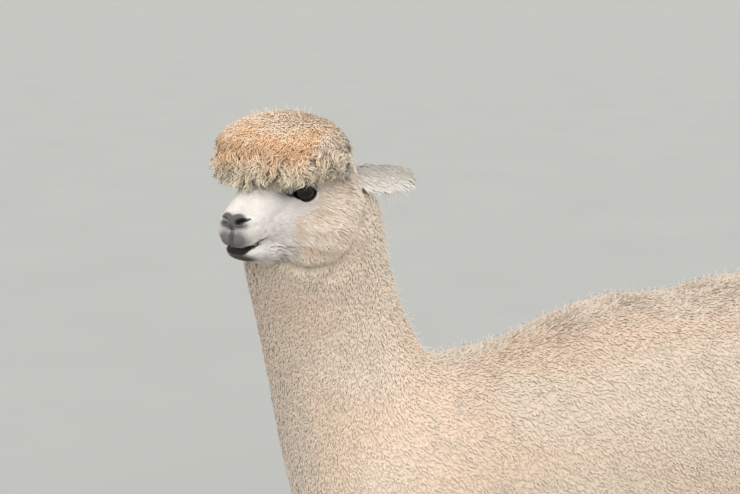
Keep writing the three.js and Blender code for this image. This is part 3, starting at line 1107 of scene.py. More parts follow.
    def build(self) -> "Pelt":
        """Makes the skin and works out what grows on it."""
        mesh = self.wrapped()
        skin = Skin.of(mesh)
        bpy.data.meshes.remove(mesh)
        skin.points = skin.even(skin.points, 2, 0.5)
        skin.points = self.thighs(skin)
        owners = self.nearest(skin.points)
        share = self.zones(skin, owners)
        values = {
            name: share @ np.array([getattr(GROWTH[z], name) for z in Zone]) for name in FIELDS
        }
        normals = skin.even(skin.normals(), 6)
        outline = skin.points.copy()
        depth = values["depth"] + self.swell / MM + 9.0 * FACE.crease(HEAD.local(outline))
        skin.points = skin.points - unit(normals) * (depth * MM)[:, None]
        local = HEAD.local(skin.points)
        high = local[:, 2]
        rest = 1.0 - ease(-60, -30, local[:, 0]) * ease(-150, -120, high) * ease(60, 40, high)
        soft = skin.even(skin.points, 3, 0.4)
        skin.points += (soft - skin.points) * rest[:, None]
        skin.points += unit(skin.even(skin.normals(), 4)) * (self.modelled(skin) * MM)[:, None]
        skin.points = skin.even(skin.points, 1, 0.6)
        normals = skin.normals()
        lie = self.lies(skin, unit(skin.even(normals, 3)), share)
        return Pelt(skin, normals, lie, share, values, owners, outline)


@dataclass
class Pelt:
    """The finished skin, and what grows at each vertex.

    Attributes:
        skin: the surface.
        normals: its normals.
        lie: the coat's direction.
        share: the zones' shares.
        values: the zones' sizes, blended.
        owners: the node that each vertex stands for.
        outline: where the coat's tips lie.
    """

    skin: Skin
    normals: Array
    lie: Array
    share: Array
    values: dict[str, Array]
    owners: list[str]
    outline: Array

    def tint(self, points: Array, share: Array) -> Array:
        """The markings at places with these zone shares, with painted shade in the fold behind and below
        the cheek wool.
        """
        local = HEAD.local(points)
        head = held(share, *HEAD_ZONES)
        ruff = share[:, Zone.CHEEK.value] / np.maximum(head, 1e-6)
        wool = held(share, Zone.CURLS, Zone.CROWN)
        ear = share[:, Zone.EAR.value]
        rest = np.clip(1 - head - wool - ear, 0, 1)
        # Painted shade: the fold behind and below the cheek wool is darkened by up to a third, as if it
        # lay in shadow.
        shade = 1 - 0.34 * FACE.crease(local) * (1 - wool)
        return shade[:, None] * (
            head[:, None] * MARKS.head(local, ruff)
            + wool[:, None] * MARKS.topknot(local)
            + ear[:, None] * MARKS.ear(points)
            + rest[:, None] * MARKS.body(points)
        )

    def dress(self, finish: HideFinish) -> bpy.types.Object:
        """The skin as an object, with its markings and the painted light under the coat."""
        mesh = new_mesh("skin", self.skin.points, self.skin.faces)
        local = HEAD.local(self.skin.points)
        # Painted light: the skin under the coat is painted a little lighter, so that the shaded gaps
        # between tufts look less dark.
        covered = 1 - held(self.share, Zone.FACE, Zone.MUZZLE, Zone.BARE, Zone.FOOT)
        shade = 1 + 0.06 * np.clip(covered, 0, 1)
        paint(mesh, self.tint(self.skin.points, self.share) * shade[:, None])
        bare = mesh.attributes.new("bare", "FLOAT", "POINT")
        front = ease(55, 75, local[:, 0]) * self.share[:, Zone.BARE.value]
        bare.data.foreach_set("value", front.astype(np.float32))
        mesh.materials.append(finish.material())
        obj = new_object("skin", mesh)
        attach(obj, "root")
        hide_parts(*FLESH)
        return obj


# ------------------------------------------------------------------ the coat


@dataclass
class Roots:
    """Where tufts stand and how each grows; every field has one row for each tuft."""

    place: Array
    normal: Array
    lie: Array
    share: Array
    length: Array
    width: Array
    lift: Array
    curl: Array
    dark: Array
    phase: Array
    turn: Array
    tint: Array
    owner: Array

    def only(self, chosen: Array) -> "Roots":
        """The chosen tufts."""
        return Roots(**{key: value[chosen] for key, value in vars(self).items()})


def spread_codes(cells: Array) -> Array:
    """Ten-bit cell numbers with two empty bits between their bits."""
    x = cells.astype(np.int64) & 0x3FF
    for shift, mask in ((16, 0x30000FF), (8, 0x300F00F), (4, 0x30C30C3), (2, 0x9249249)):
        x = (x | (x << shift)) & mask
    return x


def scatter(skin: Skin, density: Array, rng: np.random.Generator) -> tuple[Array, Array]:
    """Spreads points evenly over a surface.

    Args:
        skin: the surface.
        density: points for each square metre, at each vertex.
        rng: the source of chance.

    Returns:
        Each point's triangle, and its three shares in it.
    """
    area = np.linalg.norm(skin.face_normals(), axis=1) / 2
    weight = area * density[skin.faces].mean(1)
    middle = skin.points[skin.faces].mean(1)
    cells = ((middle - middle.min(0)) / 1.5 * 1023).astype(int)
    code = sum(spread_codes(cells[:, k]) << k for k in range(3))
    order = np.argsort(code, kind="stable")
    total = np.cumsum(weight[order])
    marks = np.arange(0.5, total[-1], 1.0)
    marks = marks + rng.uniform(-0.45, 0.45, int(total[-1] + 0.5))[: len(marks)]
    picks = order[np.clip(np.searchsorted(total, marks), 0, len(order) - 1)]
    a, b = rng.uniform(size=(2, len(picks)))
    over = a + b > 1
    a[over], b[over] = 1 - a[over], 1 - b[over]
    return picks, np.stack([1 - a - b, a, b], -1)


def wrapped_angle(points: Array, base: Array, axis: Array) -> tuple[Array, Array]:
    """Places unrolled about an axis: the turn about it, and the length along it."""
    axis = unit(axis)
    first = unit(np.cross(axis, [0.0, 0.31, 0.95] if abs(axis[2]) < 0.8 else [1.0, 0.05, 0.0]))
    second = np.cross(axis, first)
    rel = points - base
    return np.arctan2(rel @ second, rel @ first), rel @ axis


def dome(points: Array, middle: Array, pole: Array) -> tuple[Array, Array]:
    """Places on a round form, laid out flat about its pole."""
    pole = unit(pole)
    first = unit(np.cross(pole, [0.3, 0.2, 0.93] if abs(pole[2]) < 0.8 else [1.0, 0.1, 0.0]))
    second = np.cross(pole, first)
    rel = unit(points - middle)
    far = np.sqrt(np.clip((1 - rel @ pole) / 2, 0, 1))
    turn = np.arctan2(rel @ second, rel @ first)
    return far * np.cos(turn), far * np.sin(turn)


TRUNK_CHART = partial(wrapped_angle, base=TRUNK_MIDDLE, axis=TAILWARD)
TRUNK_PARTS = (("fore", -1.0, -0.12), ("mid", -0.12, 0.2), ("hind", 0.2, 2.0))


@dataclass(frozen=True)
class Tuft:
    """The build of one kind of tuft: a closed spindle, with rings of three corners between its ends.

    Attributes:
        rings: how many rings it has.
        blunt: its width near the tip, as a share of its full width.
        flat: its thickness, as a share of its width.
        turns: how many times its curl goes round.
        level: how far its normals follow the skin's, so that the coat shades softly.
    """

    rings: int = 1
    blunt: float = 0.62
    flat: float = 0.3
    turns: float = 0.5
    level: float = 0.62

    def steps(self) -> Array:
        """Where the root, the rings and the tip lie along the tuft."""
        rings = [0.58] if self.rings == 1 else np.linspace(0.12, 0.86, self.rings)
        return np.concatenate([[0.0], rings, [1.0]])

    def faces(self) -> Array:
        """One tuft's triangles."""
        pairs = [(1 + k, 1 + (k + 1) % 3) for k in range(3)]
        out = [(0, b, a) for a, b in pairs]
        for low in range(0, 3 * (self.rings - 1), 3):
            for a, b in pairs:
                out += [(low + a, low + b, low + b + 3), (low + a, low + b + 3, low + a + 3)]
        last = 3 * (self.rings - 1)
        return np.array(out + [(last + a, last + b, last + 4) for a, b in pairs])

    def grow(self, roots: Roots, rng: np.random.Generator) -> tuple[Array, Array, Array, Array]:
        """Grows every tuft.

        Args:
            roots: where and how.
            rng: the source of chance.

        Returns:
            The points and normals, by tuft and corner, each corner's place along its tuft, and
            its offset in the bake map.
        """
        n = len(roots.place)
        t = self.steps()
        side = unit(np.cross(roots.normal, roots.lie))
        sine, cosine = np.sin(roots.lift)[:, None], np.cos(roots.lift)[:, None]
        across = roots.normal * cosine - roots.lie * sine
        angle = roots.phase[:, None] + (2 * np.pi * self.turns * roots.turn)[:, None] * t
        rise = (t * (1.35 - 0.35 * t))[None, :, None] * (roots.normal * sine)[:, None]
        run = (t ** 1.2)[None, :, None] * (roots.lie * cosine)[:, None]
        path = roots.place[:, None] + roots.length[:, None, None] * (rise + run)
        radius = roots.curl[:, None] * np.minimum(1.0, 2.2 * t)
        path += (radius * (np.cos(angle) - np.cos(roots.phase)[:, None]))[..., None] * side[:, None]
        path += (radius * (np.sin(angle) - np.sin(roots.phase)[:, None]))[..., None] * across[:, None]
        path[:, 0] -= roots.normal * np.minimum(0.001, 0.3 * roots.width)[:, None]
        twist = rng.uniform(-0.5, 0.5, n)[:, None] + np.array([0.5, 1.1667, 1.8333]) * np.pi
        ring = np.cos(twist)[..., None] * side[:, None]
        ring = ring + self.flat * np.sin(twist)[..., None] * across[:, None]
        size = roots.width[:, None] * np.interp(t[1:-1], (0, 0.3, 0.6, 1), (0.6, 1.0, 1.0, self.blunt))
        rings = path[:, 1:-1, None] + size[:, :, None, None] * ring[:, None]
        points = np.concatenate([path[:, :1], rings.reshape(n, -1, 3), path[:, -1:]], axis=1)
        points[..., 2] = np.maximum(points[..., 2], GROUND_GAP)
        own = np.tile(unit(ring), (1, self.rings, 1))
        ends = (roots.normal[:, None], unit(roots.lie + 0.6 * roots.normal)[:, None])
        own = np.concatenate([ends[0], own, ends[1]], axis=1)
        normals = unit(own * (1 - self.level) + roots.normal[:, None] * self.level)
        height = np.concatenate([[0.0], np.repeat(t[1:-1], 3), [1.0]])
        place = np.concatenate([[0.5], np.tile([0.0, 1.0, 0.5], self.rings), [0.5]])
        return points, normals, height, np.stack([place, height], -1) - 0.5


class Coat:
    """The fleece and hair, as joined meshes of solid tufts."""

    def __init__(self, pelt: Pelt, seed: int = 11) -> None:
        """Keeps the skin and starts the chance.

        Args:
            pelt: the finished skin.
            seed: the seed of the chance.
        """
        self.pelt = pelt
        self.outline = BVHTree.FromPolygons(pelt.outline.tolist(), pelt.skin.faces.tolist())
        self.rng = np.random.default_rng(seed)
        self.count = 0

    def roots(self) -> Roots:
        """Spreads the roots over the skin and settles how each tuft grows."""
        pelt, rng = self.pelt, self.rng
        spacing = 1.0 / np.sqrt(pelt.share @ np.array([1 / GROWTH[z].spacing**2 for z in Zone]))
        density = 1.0 / (spacing * MM) ** 2
        density *= 1 - ease(0.35, 0.7, pelt.share[:, Zone.BARE.value])
        faces, parts = scatter(pelt.skin, density, rng)
        corners = pelt.skin.faces[faces]

        def at(values: Array) -> Array:
            """Vertex values at the roots."""
            weights = parts.reshape(parts.shape + (1,) * (values.ndim - 1))
            return (values[corners] * weights).sum(1)

        place = at(pelt.skin.points)
        normal = unit(at(pelt.normals))
        owner = np.array(pelt.owners)[corners[:, 0]]
        values = {name: at(value) for name, value in pelt.values.items()}
        local = HEAD.local(place)
        lie = self.hanging(place, normal, at(pelt.lie), values, owner == "topknot")
        beard = ease(0.1, 0.6, blob(mirrored(local) * [1, 0.3, 1], (54, 9, -90), (26, 14, 22)))
        beard *= np.isin(owner, ("head", "lower_jaw"))
        for name, more in (("length", 1.5), ("width", 0.7), ("curl", 8.0), ("lift", 1.2)):
            values[name] = values[name] * (1 + more * beard)
        values["part"] = values["part"] + 0.6 * beard
        values["spare"] = 12.0 * beard
        return self.settled(place, normal, lie, at(pelt.share), values, owner)

    def hanging(
        self, place: Array, normal: Array, lie: Array, values: dict[str, Array], wool: Array
    ) -> Array:
        """Lets the topknot's lower locks hang over the brow, down to an uneven edge.

        Args:
            place: the roots.
            normal: the skin's normals there.
            lie: the coat's direction there.
            values: the zones' sizes, of which length and lift are changed.
            wool: which roots are the topknot's.

        Returns:
            The coat's direction, straight down in those locks.
        """
        local = HEAD.local(place)
        side = mirrored(local)
        share = ease(66, 50, local[:, 2]) * wool
        edge = 16 + 6 * Ripple(15, 26)(local) + 16 * blob(side, (8, 62, 16), (32, 20, 24))
        edge -= 8 * blob(local, (62, -52, 14), (26, 24, 24))
        long = np.clip((local[:, 2] - edge) / 0.85, 11, 38)
        values["length"] = values["length"] + (long - values["length"]) * share
        out = (local[:, :1] + 34) * HEAD.forward + local[:, 1:2] * HEAD.left
        fall = unit(0.42 * unit(out) + DOWN)
        stand = (fall * normal).sum(1)
        steep = np.degrees(np.arcsin(np.clip(stand, 0.2, 0.95)))
        values["lift"] += (steep - values["lift"]) * share
        return lie + (fall - stand[:, None] * normal - lie) * share[:, None]

    def settled(
        self,
        place: Array,
        normal: Array,
        lie: Array,
        share: Array,
        values: dict[str, Array],
        owner: Array,
    ) -> Roots:
        """Turns blended sizes into each tuft's own, with chance, parting and painted shade at the edges of
        locks.

        Args:
            place: the roots.
            normal: the skin's normals there.
            lie: the coat's direction there.
            share: the zones' shares there.
            values: the zones' sizes, blended, in millimetres and degrees.
            owner: the node that each root stands on.
        """
        rng, n = self.rng, len(place)
        size = values["length"] * MM
        parting = Ripple(0.034, 31).vectors(place) * 0.24 + Ripple(0.011, 37).vectors(place) * 0.12
        parting += rng.normal(size=(n, 3)) * 0.14
        high = HEAD.local(place)[:, 2]
        curly = share[:, Zone.CURLS.value]
        wild = np.interp(values["part"], (0.1, 0.2, 0.5), (0.3, 0.6, 1.0))
        wild = (wild + 1.6 * curly * ease(40, 62, high))[:, None]
        lift = np.radians(values["lift"] * (1 + rng.normal(size=n) * 0.12))
        lift = np.clip(lift, 0.05, 1.4)
        home, pull, far = self.locks(place, values["lock"] * MM)
        part = values["part"]
        own = np.minimum(0.25 * wild, 0.3)
        way = (lie + parting * wild)[home] * (1 - own) + (lie + parting * wild) * own
        way = way * (size * np.cos(lift))[:, None] + pull * (0.75 * part)[:, None]
        loose = held(share, Zone.BODY, Zone.NECK, Zone.LEG, Zone.CROWN)
        way += rng.normal(size=(n, 3)) * (0.38 * size * loose)[:, None]
        lie = laid(way, normal)
        clump = Ripple(0.05, 43)(place) * 0.35
        length = size * (1 + 0.08 * clump + rng.normal(size=n) * 0.07 + 0.5 * part * (0.45 - far**2))
        reach = normal * np.sin(lift)[:, None] + lie * np.cos(lift)[:, None]
        spare = 1.5 + np.abs(rng.normal(size=n)) * 2.0 + 12.0 * curly * ease(58, 30, high)
        spare = spare + values["spare"]
        length *= self.trimmed(place, reach, length, spare * MM)
        tint = self.pelt.tint(place, share)
        tone = 1 + rng.normal(size=n)[home] * 0.05 * part + rng.normal(size=n) * 0.03
        # Painted shade: tufts far from their lock's leader are darker, as if shaded in the gaps between
        # locks; the random spread of tone is the wool's own.
        tint *= np.clip(tone - 0.2 * part**1.5 * ease(0.45, 1.1, far), 0.5, 1.12)[:, None]
        phase = rng.uniform(0, 2 * np.pi, n)[home] + rng.normal(size=n) * 0.7
        return Roots(
            place, normal, lie, share, length, values["width"] * MM * rng.uniform(0.75, 1.2, n),
            lift, values["curl"] * MM * rng.uniform(0.6, 1.2, n), values["dark"],
            phase, rng.choice([-1.0, 1.0], n)[home] * np.clip(size / (26 * MM), 0.5, 1.4), tint, owner,
        )

    def locks(self, place: Array, spacing: Array) -> tuple[Array, Array, Array]:
        """Gathers tufts into locks about some of their own number.

        Args:
            place: the roots.
            spacing: the distance between locks there.

        Returns:
            Each tuft's leader, the way to it, and how far off it lies as a share of a lock's reach.
        """
        tree = KDTree(len(place))
        for i, spot in enumerate(place.tolist()):
            tree.insert(spot, i)
        tree.balance()
        room = np.array([tree.find_n(spot, 7)[-1][2] for spot in place[::40].tolist()])
        gap = np.interp(np.arange(len(place)), np.arange(0, len(place), 40), room) / 1.4
        leaders = np.flatnonzero(self.rng.random(len(place)) < np.clip((gap / spacing) ** 2, 0.0, 1.0))
        heads = KDTree(len(leaders))
        for i in leaders.tolist():
            heads.insert(place[i].tolist(), i)
        heads.balance()
        home = np.array([heads.find(spot)[1] for spot in place.tolist()])
        pull = place[home] - place
        return home, pull, np.minimum(np.linalg.norm(pull, axis=1) / (0.75 * spacing), 1.3)

    def trimmed(self, place: Array, reach: Array, length: Array, spare: Array) -> Array:
        """How far to shorten tufts so that their tips keep to the coat's outline.

        Args:
            place: the roots.
            reach: the way from root to tip.
            length: the tufts' lengths.
            spare: how far each tip may stand out.

        Returns:
            A share of the length for each tuft.
        """
        share = np.ones(len(place))
        for _ in range(2):
            tips = place + reach * (length * share)[:, None]
            for i, tip in enumerate(tips.tolist()):
                hit, normal, _, far = self.outline.find_nearest(tip)
                if far > spare[i]:
                    out = sum((t - h) * side for t, h, side in zip(tip, hit, normal))
                    if out > spare[i]:
                        share[i] = max(0.3, share[i] - 0.9 * (out - spare[i]) / length[i])
        return share

    def piece(
        self, name: str, roots: Roots, tuft: Tuft, chart: Chart, finish: bpy.types.Material
    ) -> None:
        """Grows one piece of the coat.

        Args:
            name: the piece's name.
            roots: its tufts.
            tuft: their build.
            chart: what unwraps the skin's shape at the roots.
            finish: the material.
        """
        if len(roots.place) == 0:
            return
        points, normals, height, patch = tuft.grow(roots, self.rng)
        n, corners = points.shape[:2]
        faces = (tuft.faces()[None] + (np.arange(n) * corners)[:, None, None]).reshape(-1, 3)
        mesh = new_mesh(name, points.reshape(-1, 3), faces)
        # Painted shade and light: each tuft darkens towards its root, as if shaded in the crevices between
        # tufts, and lightens a little towards its tip.
        shade = 1 - roots.dark[:, None] * (1 - height[None]) ** 1.3
        tint = roots.tint[:, None] * (shade[..., None] ** np.array([1.0, 1.1, 1.25]))
        tint = tint * (1 + 0.04 * height)[None, :, None]
        paint(mesh, np.clip(tint, 0, 1).reshape(-1, 3))
        flat = np.stack(chart(roots.place), -1)
        span = np.maximum(np.ptp(flat, axis=0), 1e-9)
        flat = 0.004 + 0.992 * (flat - flat.min(0)) / span
        uv = (flat[:, None] + 0.003 * patch[None]).reshape(-1, 2)
        layer = mesh.uv_layers.new(name="OFBake")
        layer.data.foreach_set("uv", uv[faces.ravel()].astype(np.float32).ravel())
        mesh.normals_split_custom_set_from_vertices(normals.reshape(-1, 3).astype(np.float32))
        mesh.materials.append(finish)
        obj = new_object(name, mesh)
        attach(obj, "root")
        self.count += len(faces)
        LOG.info("%s: %d tufts, %d triangles", name, n, len(faces))

    def strays(self, roots: Roots, zone: Array, fleece: bpy.types.Material) -> None:
        """Adds bits of chaff along the back, and single hairs that stand out of the wool.

        Args:
            roots: the whole coat's roots.
            zone: each root's zone.
            fleece: the hairs' finish.
        """
        rng = self.rng
        local = HEAD.local(roots.place)
        top = roots.normal[:, 2]
        back = (np.abs(roots.place[:, 0]) < 0.14) & (top > 0.5) & (roots.place[:, 1] > -0.24)
        back &= zone == Zone.BODY.value
        behind = (zone == Zone.NECK.value) & (roots.normal @ HEAD.forward < -0.1)
        peak = (zone == Zone.CROWN.value) & (local[:, 2] > 105)
        # Each row: name, roots, how many, how far raised, length, half width, lift, spread, colour.
        kinds = (
            ("chaff", back, 520, 5.0, (3, 9), (0.45, 0.7), (0.05, 0.6), 1.0, MARKS.earth),
            ("back_hairs", back | behind, 1500, 1.0, (9, 19), (0.3, 0.45), (0.5, 1.3), 0.5, MARKS.pale),
            ("crown_hairs", peak, 60, 1.0, (9, 17), (0.25, 0.35), (0.8, 1.4), 0.4, MARKS.straw),
        )
        for name, where, count, raised, length, width, lift, spread, tone in kinds:
            picked = np.flatnonzero(where)
            some = roots.only(rng.choice(picked, min(count, len(picked)), replace=False))
            n = len(some.place)
            some.lie = laid(some.lie + rng.normal(size=(n, 3)) * spread, some.normal)
            some.place = some.place + some.normal * (raised * MM)
            some.length, some.width = rng.uniform(*length, n) * MM, rng.uniform(*width, n) * MM
            some.lift, some.curl = rng.uniform(*lift, n), rng.uniform(0.0, 1.2, n) * MM
            some.tint = tone[None] * rng.uniform(0.7, 1.1, (n, 1))
            some.dark = np.zeros(n)
            self.piece(name, some, Tuft(2, 0.7, 0.7, level=0.15), TRUNK_CHART, fleece)

    def head_pieces(self, roots: Roots, zone: Array, fleece: bpy.types.Material) -> Array:
        """Grows the topknot, the cheeks' wool, the crown and the face's hair.

        Args:
            roots: the whole coat's roots.
            zone: each root's zone.
            fleece: the long wool's finish.

        Returns:
            Which roots are the head's.
        """
        curls = FleeceFinish("topknot_wool", grain=700.0, mottle=0.14, relief=0.0005).material()
        short = FleeceFinish("short_hair", grain=1400.0, mottle=0.1, relief=0.0003, soft=0.2).material()
        is_wool = zone == Zone.CURLS.value
        is_crown = zone == Zone.CROWN.value
        is_cheek = zone == Zone.CHEEK.value
        is_face = np.isin(zone, [Zone.FACE.value, Zone.MUZZLE.value, Zone.BARE.value])
        turned = HEAD.local(roots.place)[:, 1]
        hub, jowl = HEAD.place(-20, 0, 20), HEAD.place(-40, 0, -20)
        for side, sign in SIGNS.items():
            mask = turned > 0 if sign > 0 else turned <= 0
            chosen = roots.only(is_wool & mask)
            chart = partial(dome, middle=hub, pole=HEAD.way(0.2, 0.8 * sign, 0.7))
            curl = Tuft(8, 0.6, 0.8, 1.3, level=0.4)
            self.piece(f"topknot_wool_{side}", chosen, curl, chart, curls)
            chosen = roots.only(is_cheek & mask)
            chart = partial(dome, middle=jowl, pole=HEAD.way(0, sign, -0.3))
            self.piece(f"cheek_wool_{side}", chosen, Tuft(2, 0.5), chart, fleece)
        chart = partial(dome, middle=hub, pole=UP)
        crown = Tuft(1, flat=0.5, level=0.5)
        self.piece("crown_wool", roots.only(is_crown), crown, chart, fleece)
        chart = partial(dome, middle=HEAD.place(0, 0, -30), pole=HEAD.way(1, 0, 0))
        self.piece("face_hair", roots.only(is_face), Tuft(1), chart, short)
        return is_wool | is_crown | is_cheek | is_face

    def body_pieces(self, roots: Roots, on_head: Array, fleece: bpy.types.Material) -> None:
        """Grows the fleece of the neck, the trunk and the legs, side by side.

        Args:
            roots: the whole coat's roots.
            on_head: which of them are the head's.
            fleece: the fleece's finish.
        """
        on_neck = (roots.owner == "neck") & ~on_head
        on_leg = np.isin(roots.owner, LEGS + FEET)
        on_trunk = ~(on_head | on_neck | on_leg | (roots.owner == "tail"))
        x, y, _ = roots.place.T
        wool = Tuft()
        neck_axis = np.array([HEAD.forward[0] * 0.25, -0.3, 1.0])
        neck_chart = partial(wrapped_angle, base=np.array([0.0, -0.38, 0.9]), axis=neck_axis)
        for side, sign in SIGNS.items():
            mask = x > 0 if sign > 0 else x <= 0
            chosen = roots.only(on_neck & mask)
            self.piece(f"neck_fleece_{side}", chosen, wool, neck_chart, fleece)
            for part, low, high in TRUNK_PARTS:
                chosen = roots.only(on_trunk & mask & (y >= low) & (y < high))
                self.piece(f"trunk_fleece_{part}_{side}", chosen, wool, TRUNK_CHART, fleece)
            for end, behind, stand in (("fore", False, -0.28), ("hind", True, 0.45)):
                chosen = roots.only(on_leg & mask & ((y > 0.08) == behind))
                chart = partial(wrapped_angle, base=np.array([0.11 * sign, stand, 0.0]), axis=UP)
                self.piece(f"{end}_leg_fleece_{side}", chosen, wool, chart, fleece)

    def build(self) -> None:
        """Grows the whole coat, piece by piece."""
        roots = self.roots()
        zone = roots.share.argmax(1)
        fleece = FleeceFinish("fleece", mottle=0.07).material()
        on_head = self.head_pieces(roots, zone, fleece)
        self.body_pieces(roots, on_head, fleece)
        self.strays(roots, zone, fleece)
        chosen = roots.only(roots.owner == "tail")
        chart = partial(wrapped_angle, base=centre_of("tail"), axis=np.array([0.0, 0.3, -1.0]))
        self.piece("tail_fleece", chosen, Tuft(3, 0.5, level=0.5), chart, fleece)
        LOG.info("coat: %d triangles", self.count)


# ------------------------------------------------------------------ eyes, ears and nails


@dataclass
class Eye:
    """One eye: the ball with its cornea, the lids round it, and the upper lashes.

    Attributes:
        side: left or right.
        radius: the eyeball's radius, in millimetres.
        cornea: how far the cornea stands out.
        ahead: how far the eye looks forward of straight out, in radians.
        half: the opening's half width and the upper and lower half heights.
        shift: how far forward the opening's middle lies.
        lashes: how many.
        thick: a lash's half width at its root.
        facet: the turn from one of a lash's three edges to the next, in radians.
        tilt: how far the opening's front corner drops.
        under: how deep the lids' outer rows lie under the coat's outline.
        profile: the lids' rows: how far out each lies, its distance from the ball's centre, and how
            far it is drawn onto the head.
    """

    side: str
    radius: float = 20.0
    cornea: float = 1.0
    ahead: float = 0.61
    half: tuple[float, float, float] = (17.6, 10.6, 11.5)
    shift: float = 2.2
    lashes: int = 64
    thick: float = 0.26
    facet: float = 2.094
    tilt: float = 0.06
    under: float = 2.9
    profile: tuple = (
        (-1.2, 19.4, 0.0), (0.0, 20.7, 0.0), (0.9, 21.9, 0.0), (2.4, 22.6, 0.05),
        (4.4, 22.9, 0.3), (6.6, 22.9, 0.7), (9.5, 22.4, 1.0), (13.0, 21.0, 1.0),
    )
    sign: float = field(init=False)

    def __post_init__(self) -> None:
        """Works out the eye's axes."""
        self.sign = SIGNS[self.side]
        self.middle = centre_of(f"eye_{self.side}")
        self.axis = unit(HEAD.way(math.sin(self.ahead), self.sign * math.cos(self.ahead), 0.0))
        self.front = unit(np.cross(self.axis, UP) * self.sign)
        if self.front @ HEAD.forward < 0:
            self.front = -self.front

    def on_ball(self, front: float, top: float, radius: float) -> Vector:
        """A point over the opening, laid on a ball of this radius, all in millimetres."""
        deep = math.sqrt(max(radius**2 - front**2 - top**2, (0.12 * radius) ** 2))
        return Vector(self.middle + (self.front * front + UP * top + self.axis * deep) * MM)

    def rim(self, angle: float, grow: float) -> tuple[float, float]:
        """The opening's edge at an angle, widened by grow: how far forward and up."""
        wide, up, down = self.half
        c, s = math.cos(angle), math.sin(angle)
        high = (up if s > 0 else down) + grow * 0.75
        pinch = abs(s) ** 1.15 * math.copysign(1, s)
        front = (wide + grow) * c + self.shift
        return front, high * pinch - self.tilt * front * 2.0 * (0.5 if c > 0 else 0.2)

    def ball(self) -> bpy.types.Object:
        """The eyeball."""
        bm = bmesh.new()
        bmesh.ops.create_uvsphere(bm, u_segments=48, v_segments=32, radius=self.radius * MM)
        turn = Vector(UP).rotation_difference(Vector(self.axis)).to_matrix().to_4x4()
        for vert in bm.verts:
            high = vert.co.z / (self.radius * MM)
            vert.co.z += self.cornea * MM * float(ease(0.72, 1.0, np.array(high)))
        bmesh.ops.transform(bm, matrix=Matrix.Translation(Vector(self.middle)) @ turn, verts=bm.verts)
        finish = EyeFinish("eye_" + self.side, self.middle, self.axis)
        return self.finished(bm, f"eyeball_{self.side}", finish.material())

    def finished(
        self, bm: bmesh.types.BMesh, name: str, material: bpy.types.Material
    ) -> bpy.types.Object:
        """A bmesh as a smooth piece of the head."""
        mesh = bpy.data.meshes.new(name)
        bm.normal_update()
        for face in bm.faces:
            face.smooth = True
        bm.to_mesh(mesh)
        bm.free()
        mesh.materials.append(material)
        obj = new_object(name, mesh)
        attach(obj, "root")
        return obj

    def lids(self, pelt: Pelt, material: bpy.types.Material) -> bpy.types.Object:
        """The lids: a rolled dark rim on the ball, spreading out under the hair.

        Args:
            pelt: the skin that they run into.
            material: their finish.
        """
        tree = BVHTree.FromPolygons([Vector(p) for p in pelt.outline], pelt.skin.faces.tolist())
        profile, around = self.profile, 64
        bm = bmesh.new()
        bmesh.ops.create_grid(bm, x_segments=around, y_segments=len(profile) - 1, size=1.0)
        made = []
        for vert in bm.verts:
            column = round((vert.co.x + 1) / 2 * around)
            row = round((vert.co.y + 1) / 2 * (len(profile) - 1))
            angle = 2 * math.pi * (column % around) / around
            grow, ball, onto = profile[row]
            wide = grow * (1.15 if math.sin(angle) > 0 else 1.0)
            place = self.on_ball(*self.rim(angle, wide), ball)
            if onto > 0:
                hit = tree.find_nearest(place)
                place = place.lerp(hit[0] - hit[1] * self.under * MM, onto)
            vert.co = place
            made.append((grow, angle))
        places = HEAD.local(np.array([v.co for v in bm.verts]))
        grown, turn = np.array(made).T
        fade = blend(MARKS.soot, MARKS.ash * 0.6, ease(1.6, 5.0, grown))
        fade = blend(fade, MARKS.head(places, FACE.cheek(places)), ease(5.0, 11.0, grown))
        turn = np.degrees(turn)
        crescent = ease(75, 95, turn) * ease(160, 140, turn)
        crescent = crescent * ease(0.2, 0.9, grown) * ease(4.5, 2.4, grown)
        fade = blend(fade, MARKS.pale, 0.8 * crescent)
        fade = blend(fade, MARKS.soot, FACE.corner(mirrored(places)))
        layer = bm.verts.layers.float_color.new("tint")
        for vert, tone in zip(bm.verts, fade):
            vert[layer] = (*tone, 1.0)
        bmesh.ops.remove_doubles(bm, verts=bm.verts, dist=1e-7)
        bmesh.ops.recalc_face_normals(bm, faces=bm.faces)
        bm.normal_update()
        if sum((f.calc_center_median() - Vector(self.middle)).dot(f.normal) for f in bm.faces) < 0:
            bmesh.ops.reverse_faces(bm, faces=bm.faces)
        return self.finished(bm, f"eyelids_{self.side}", material)

    def build(self, pelt: Pelt, lid_finish: bpy.types.Material, lash_finish: bpy.types.Material) -> None:
        """Makes the eye."""
        ball = self.ball()
        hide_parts(f"eye_{self.side}")
        self.lids(pelt, lid_finish)
        self.lash_fan(lash_finish)
        LOG.info("eye_%s: ball, lids and lashes", self.side)

